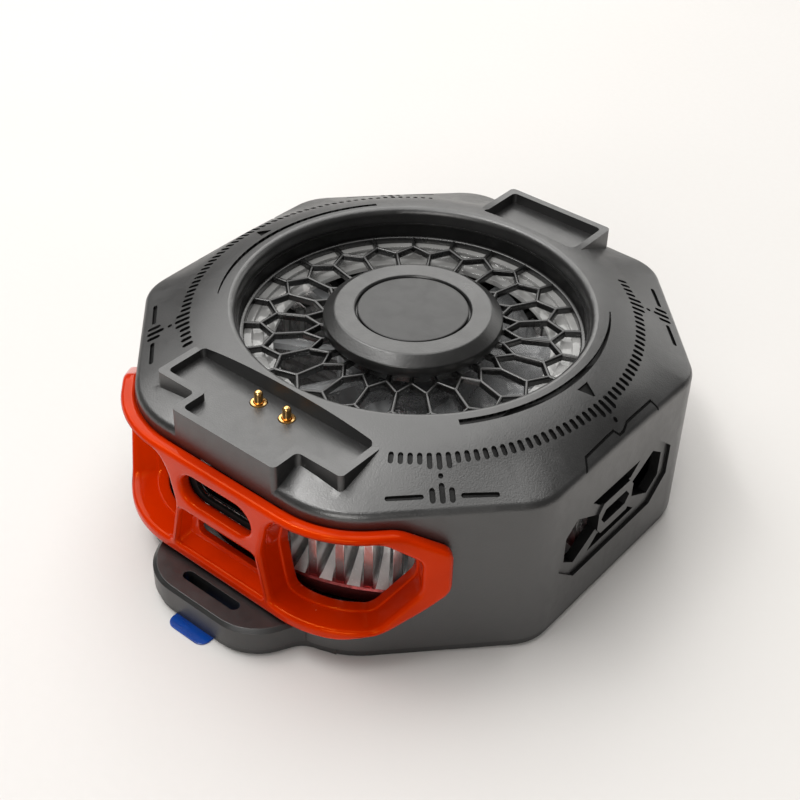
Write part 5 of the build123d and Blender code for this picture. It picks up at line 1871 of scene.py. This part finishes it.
@dataclass
class Studio:
    """Pale floor, soft light and the camera at the photograph's angle."""

    eye: Point = (84.41, -107.59, 117.56)
    right: Point = (0.77292, 0.63391, 0.0274)
    up: Point = (-0.40999, 0.46601, 0.78405)
    back: Point = (0.48425, -0.61725, 0.62009)
    lens_mm: float = 63.70
    shift: Flat = (-0.01234, 0.00773)
    room: float = 0.15
    target_z: float = 12.0
    floor_radius: float = 500.0
    lamps: Tuple[Tuple[str, Point, Flat, float, Colour], ...] = (
        ("ceiling", (-240.0, 90.0, 560.0), (940.0, 940.0), 4.6, (1.0, 0.99, 0.97)),
        ("tube", (-120.0, -190.0, 560.0), (470.0, 50.0), 0.85, (1.0, 0.99, 0.97)),
        ("panel", (-282.0, -66.0, 510.0), (220.0, 220.0), 0.3, (1.0, 0.99, 0.97)),
        ("window", (-325.0, 487.0, 273.0), (420.0, 420.0), 0.7, (1.0, 0.99, 0.96)),
        ("back", (60.0, 600.0, 200.0), (420.0, 420.0), 0.5, (1.0, 0.99, 0.96)),
        ("front", (190.0, -460.0, 240.0), (240.0, 240.0), 0.8, (1.0, 0.98, 0.95)),
    )

    def camera(self) -> None:
        """Set up the camera."""
        data = bpy.data.cameras.new("camera")
        data.lens = self.lens_mm
        data.sensor_width = 36.0
        data.shift_x, data.shift_y = self.shift
        data.clip_start = 0.005
        data.clip_end = 20.0
        made = bpy.data.objects.new("camera", data)
        turn = Matrix((self.right, self.up, self.back)).transposed().to_4x4()
        made.matrix_world = Matrix.Translation(Vector(self.eye) * MM) @ turn
        bpy.context.scene.collection.objects.link(made)
        bpy.context.scene.camera = made

    def floor(self) -> None:
        """Set up the floor."""
        recipe = Recipe("pale_floor")
        cloud = recipe.noise(160.0, 3.0)
        base = recipe.blend(cloud.remap(0.3, 0.7), (0.7, 0.682, 0.664), (0.73, 0.712, 0.698))
        material = recipe.finish(recipe.surface({
            "Base Color": base,
            "Roughness": recipe.noise(1.0, 2.0).remap(0.3, 0.7, 0.55, 0.7),
            "Normal": recipe.bump(recipe.noise(0.8, 3.0), 0.01),
        }))
        outline = [(0.0, -2.0), (self.floor_radius, -2.0), (self.floor_radius, 0.0), (0.0, 0.0)]
        lathe("floor", outline, material, 64)

    def light(self, name: str, place: Point, size: Flat, power: float, colour: Colour) -> None:
        """Add a soft lamp that looks at the object.

        Args:
            name: Name of the lamp.
            place: Its place in millimetres.
            size: Its width and height in millimetres.
            power: Its power in watts.
            colour: Its colour.
        """
        data = bpy.data.lights.new(name, "AREA")
        data.shape = "ELLIPSE"
        data.size, data.size_y = (side * MM for side in size)
        data.energy = power
        data.color = colour
        lamp = bpy.data.objects.new(name, data)
        way = Vector(place) * MM - Vector((0.0, 0.0, self.target_z)) * MM
        turn = way.to_track_quat("Z", "Y").to_matrix().to_4x4()
        lamp.matrix_world = Matrix.Translation(Vector(place) * MM) @ turn
        bpy.context.scene.collection.objects.link(lamp)

    def world(self) -> None:
        """Set up the even light from all round."""
        world = bpy.data.worlds.new("soft_room")
        bpy.context.scene.world = world
        world.use_nodes = True
        tree = world.node_tree
        room = tree.nodes["Background"]
        room.inputs["Color"].default_value = (1.0, 0.98, 0.96, 1.0)
        room.inputs["Strength"].default_value = self.room
        seen = tree.nodes.new("ShaderNodeBackground")
        seen.inputs["Color"].default_value = (0.95, 0.94, 0.93, 1.0)
        path = tree.nodes.new("ShaderNodeLightPath")
        both = tree.nodes.new("ShaderNodeMixShader")
        tree.links.new(path.outputs["Is Camera Ray"], both.inputs[0])
        tree.links.new(room.outputs[0], both.inputs[1])
        tree.links.new(seen.outputs[0], both.inputs[2])
        tree.links.new(both.outputs[0], tree.nodes["World Output"].inputs["Surface"])

    def build(self) -> None:
        """Build the studio."""
        self.camera()
        self.floor()
        self.world()
        for lamp in self.lamps:
            self.light(*lamp)
        bpy.context.scene.view_settings.view_transform = "Standard"


def main() -> None:
    """Build every sub-assembly and the studio."""
    logging.basicConfig(level=logging.INFO, format="%(name)s: %(message)s")
    shop = Workshop()
    for part in (Cover(shop), Bezel(shop), Intake(shop), Fan(shop), CoolingStack(shop), Base(shop),
                 Electronics(shop)):
        LOG.info("building %s", type(part).__name__)
        part.build()
    missing = sorted(set(frame["nodes"]) - set(shop.dressed))
    if missing:
        LOG.warning("nodes without a finish: %s", missing)
    Studio().build()


if __name__ == "__main__":
    main()
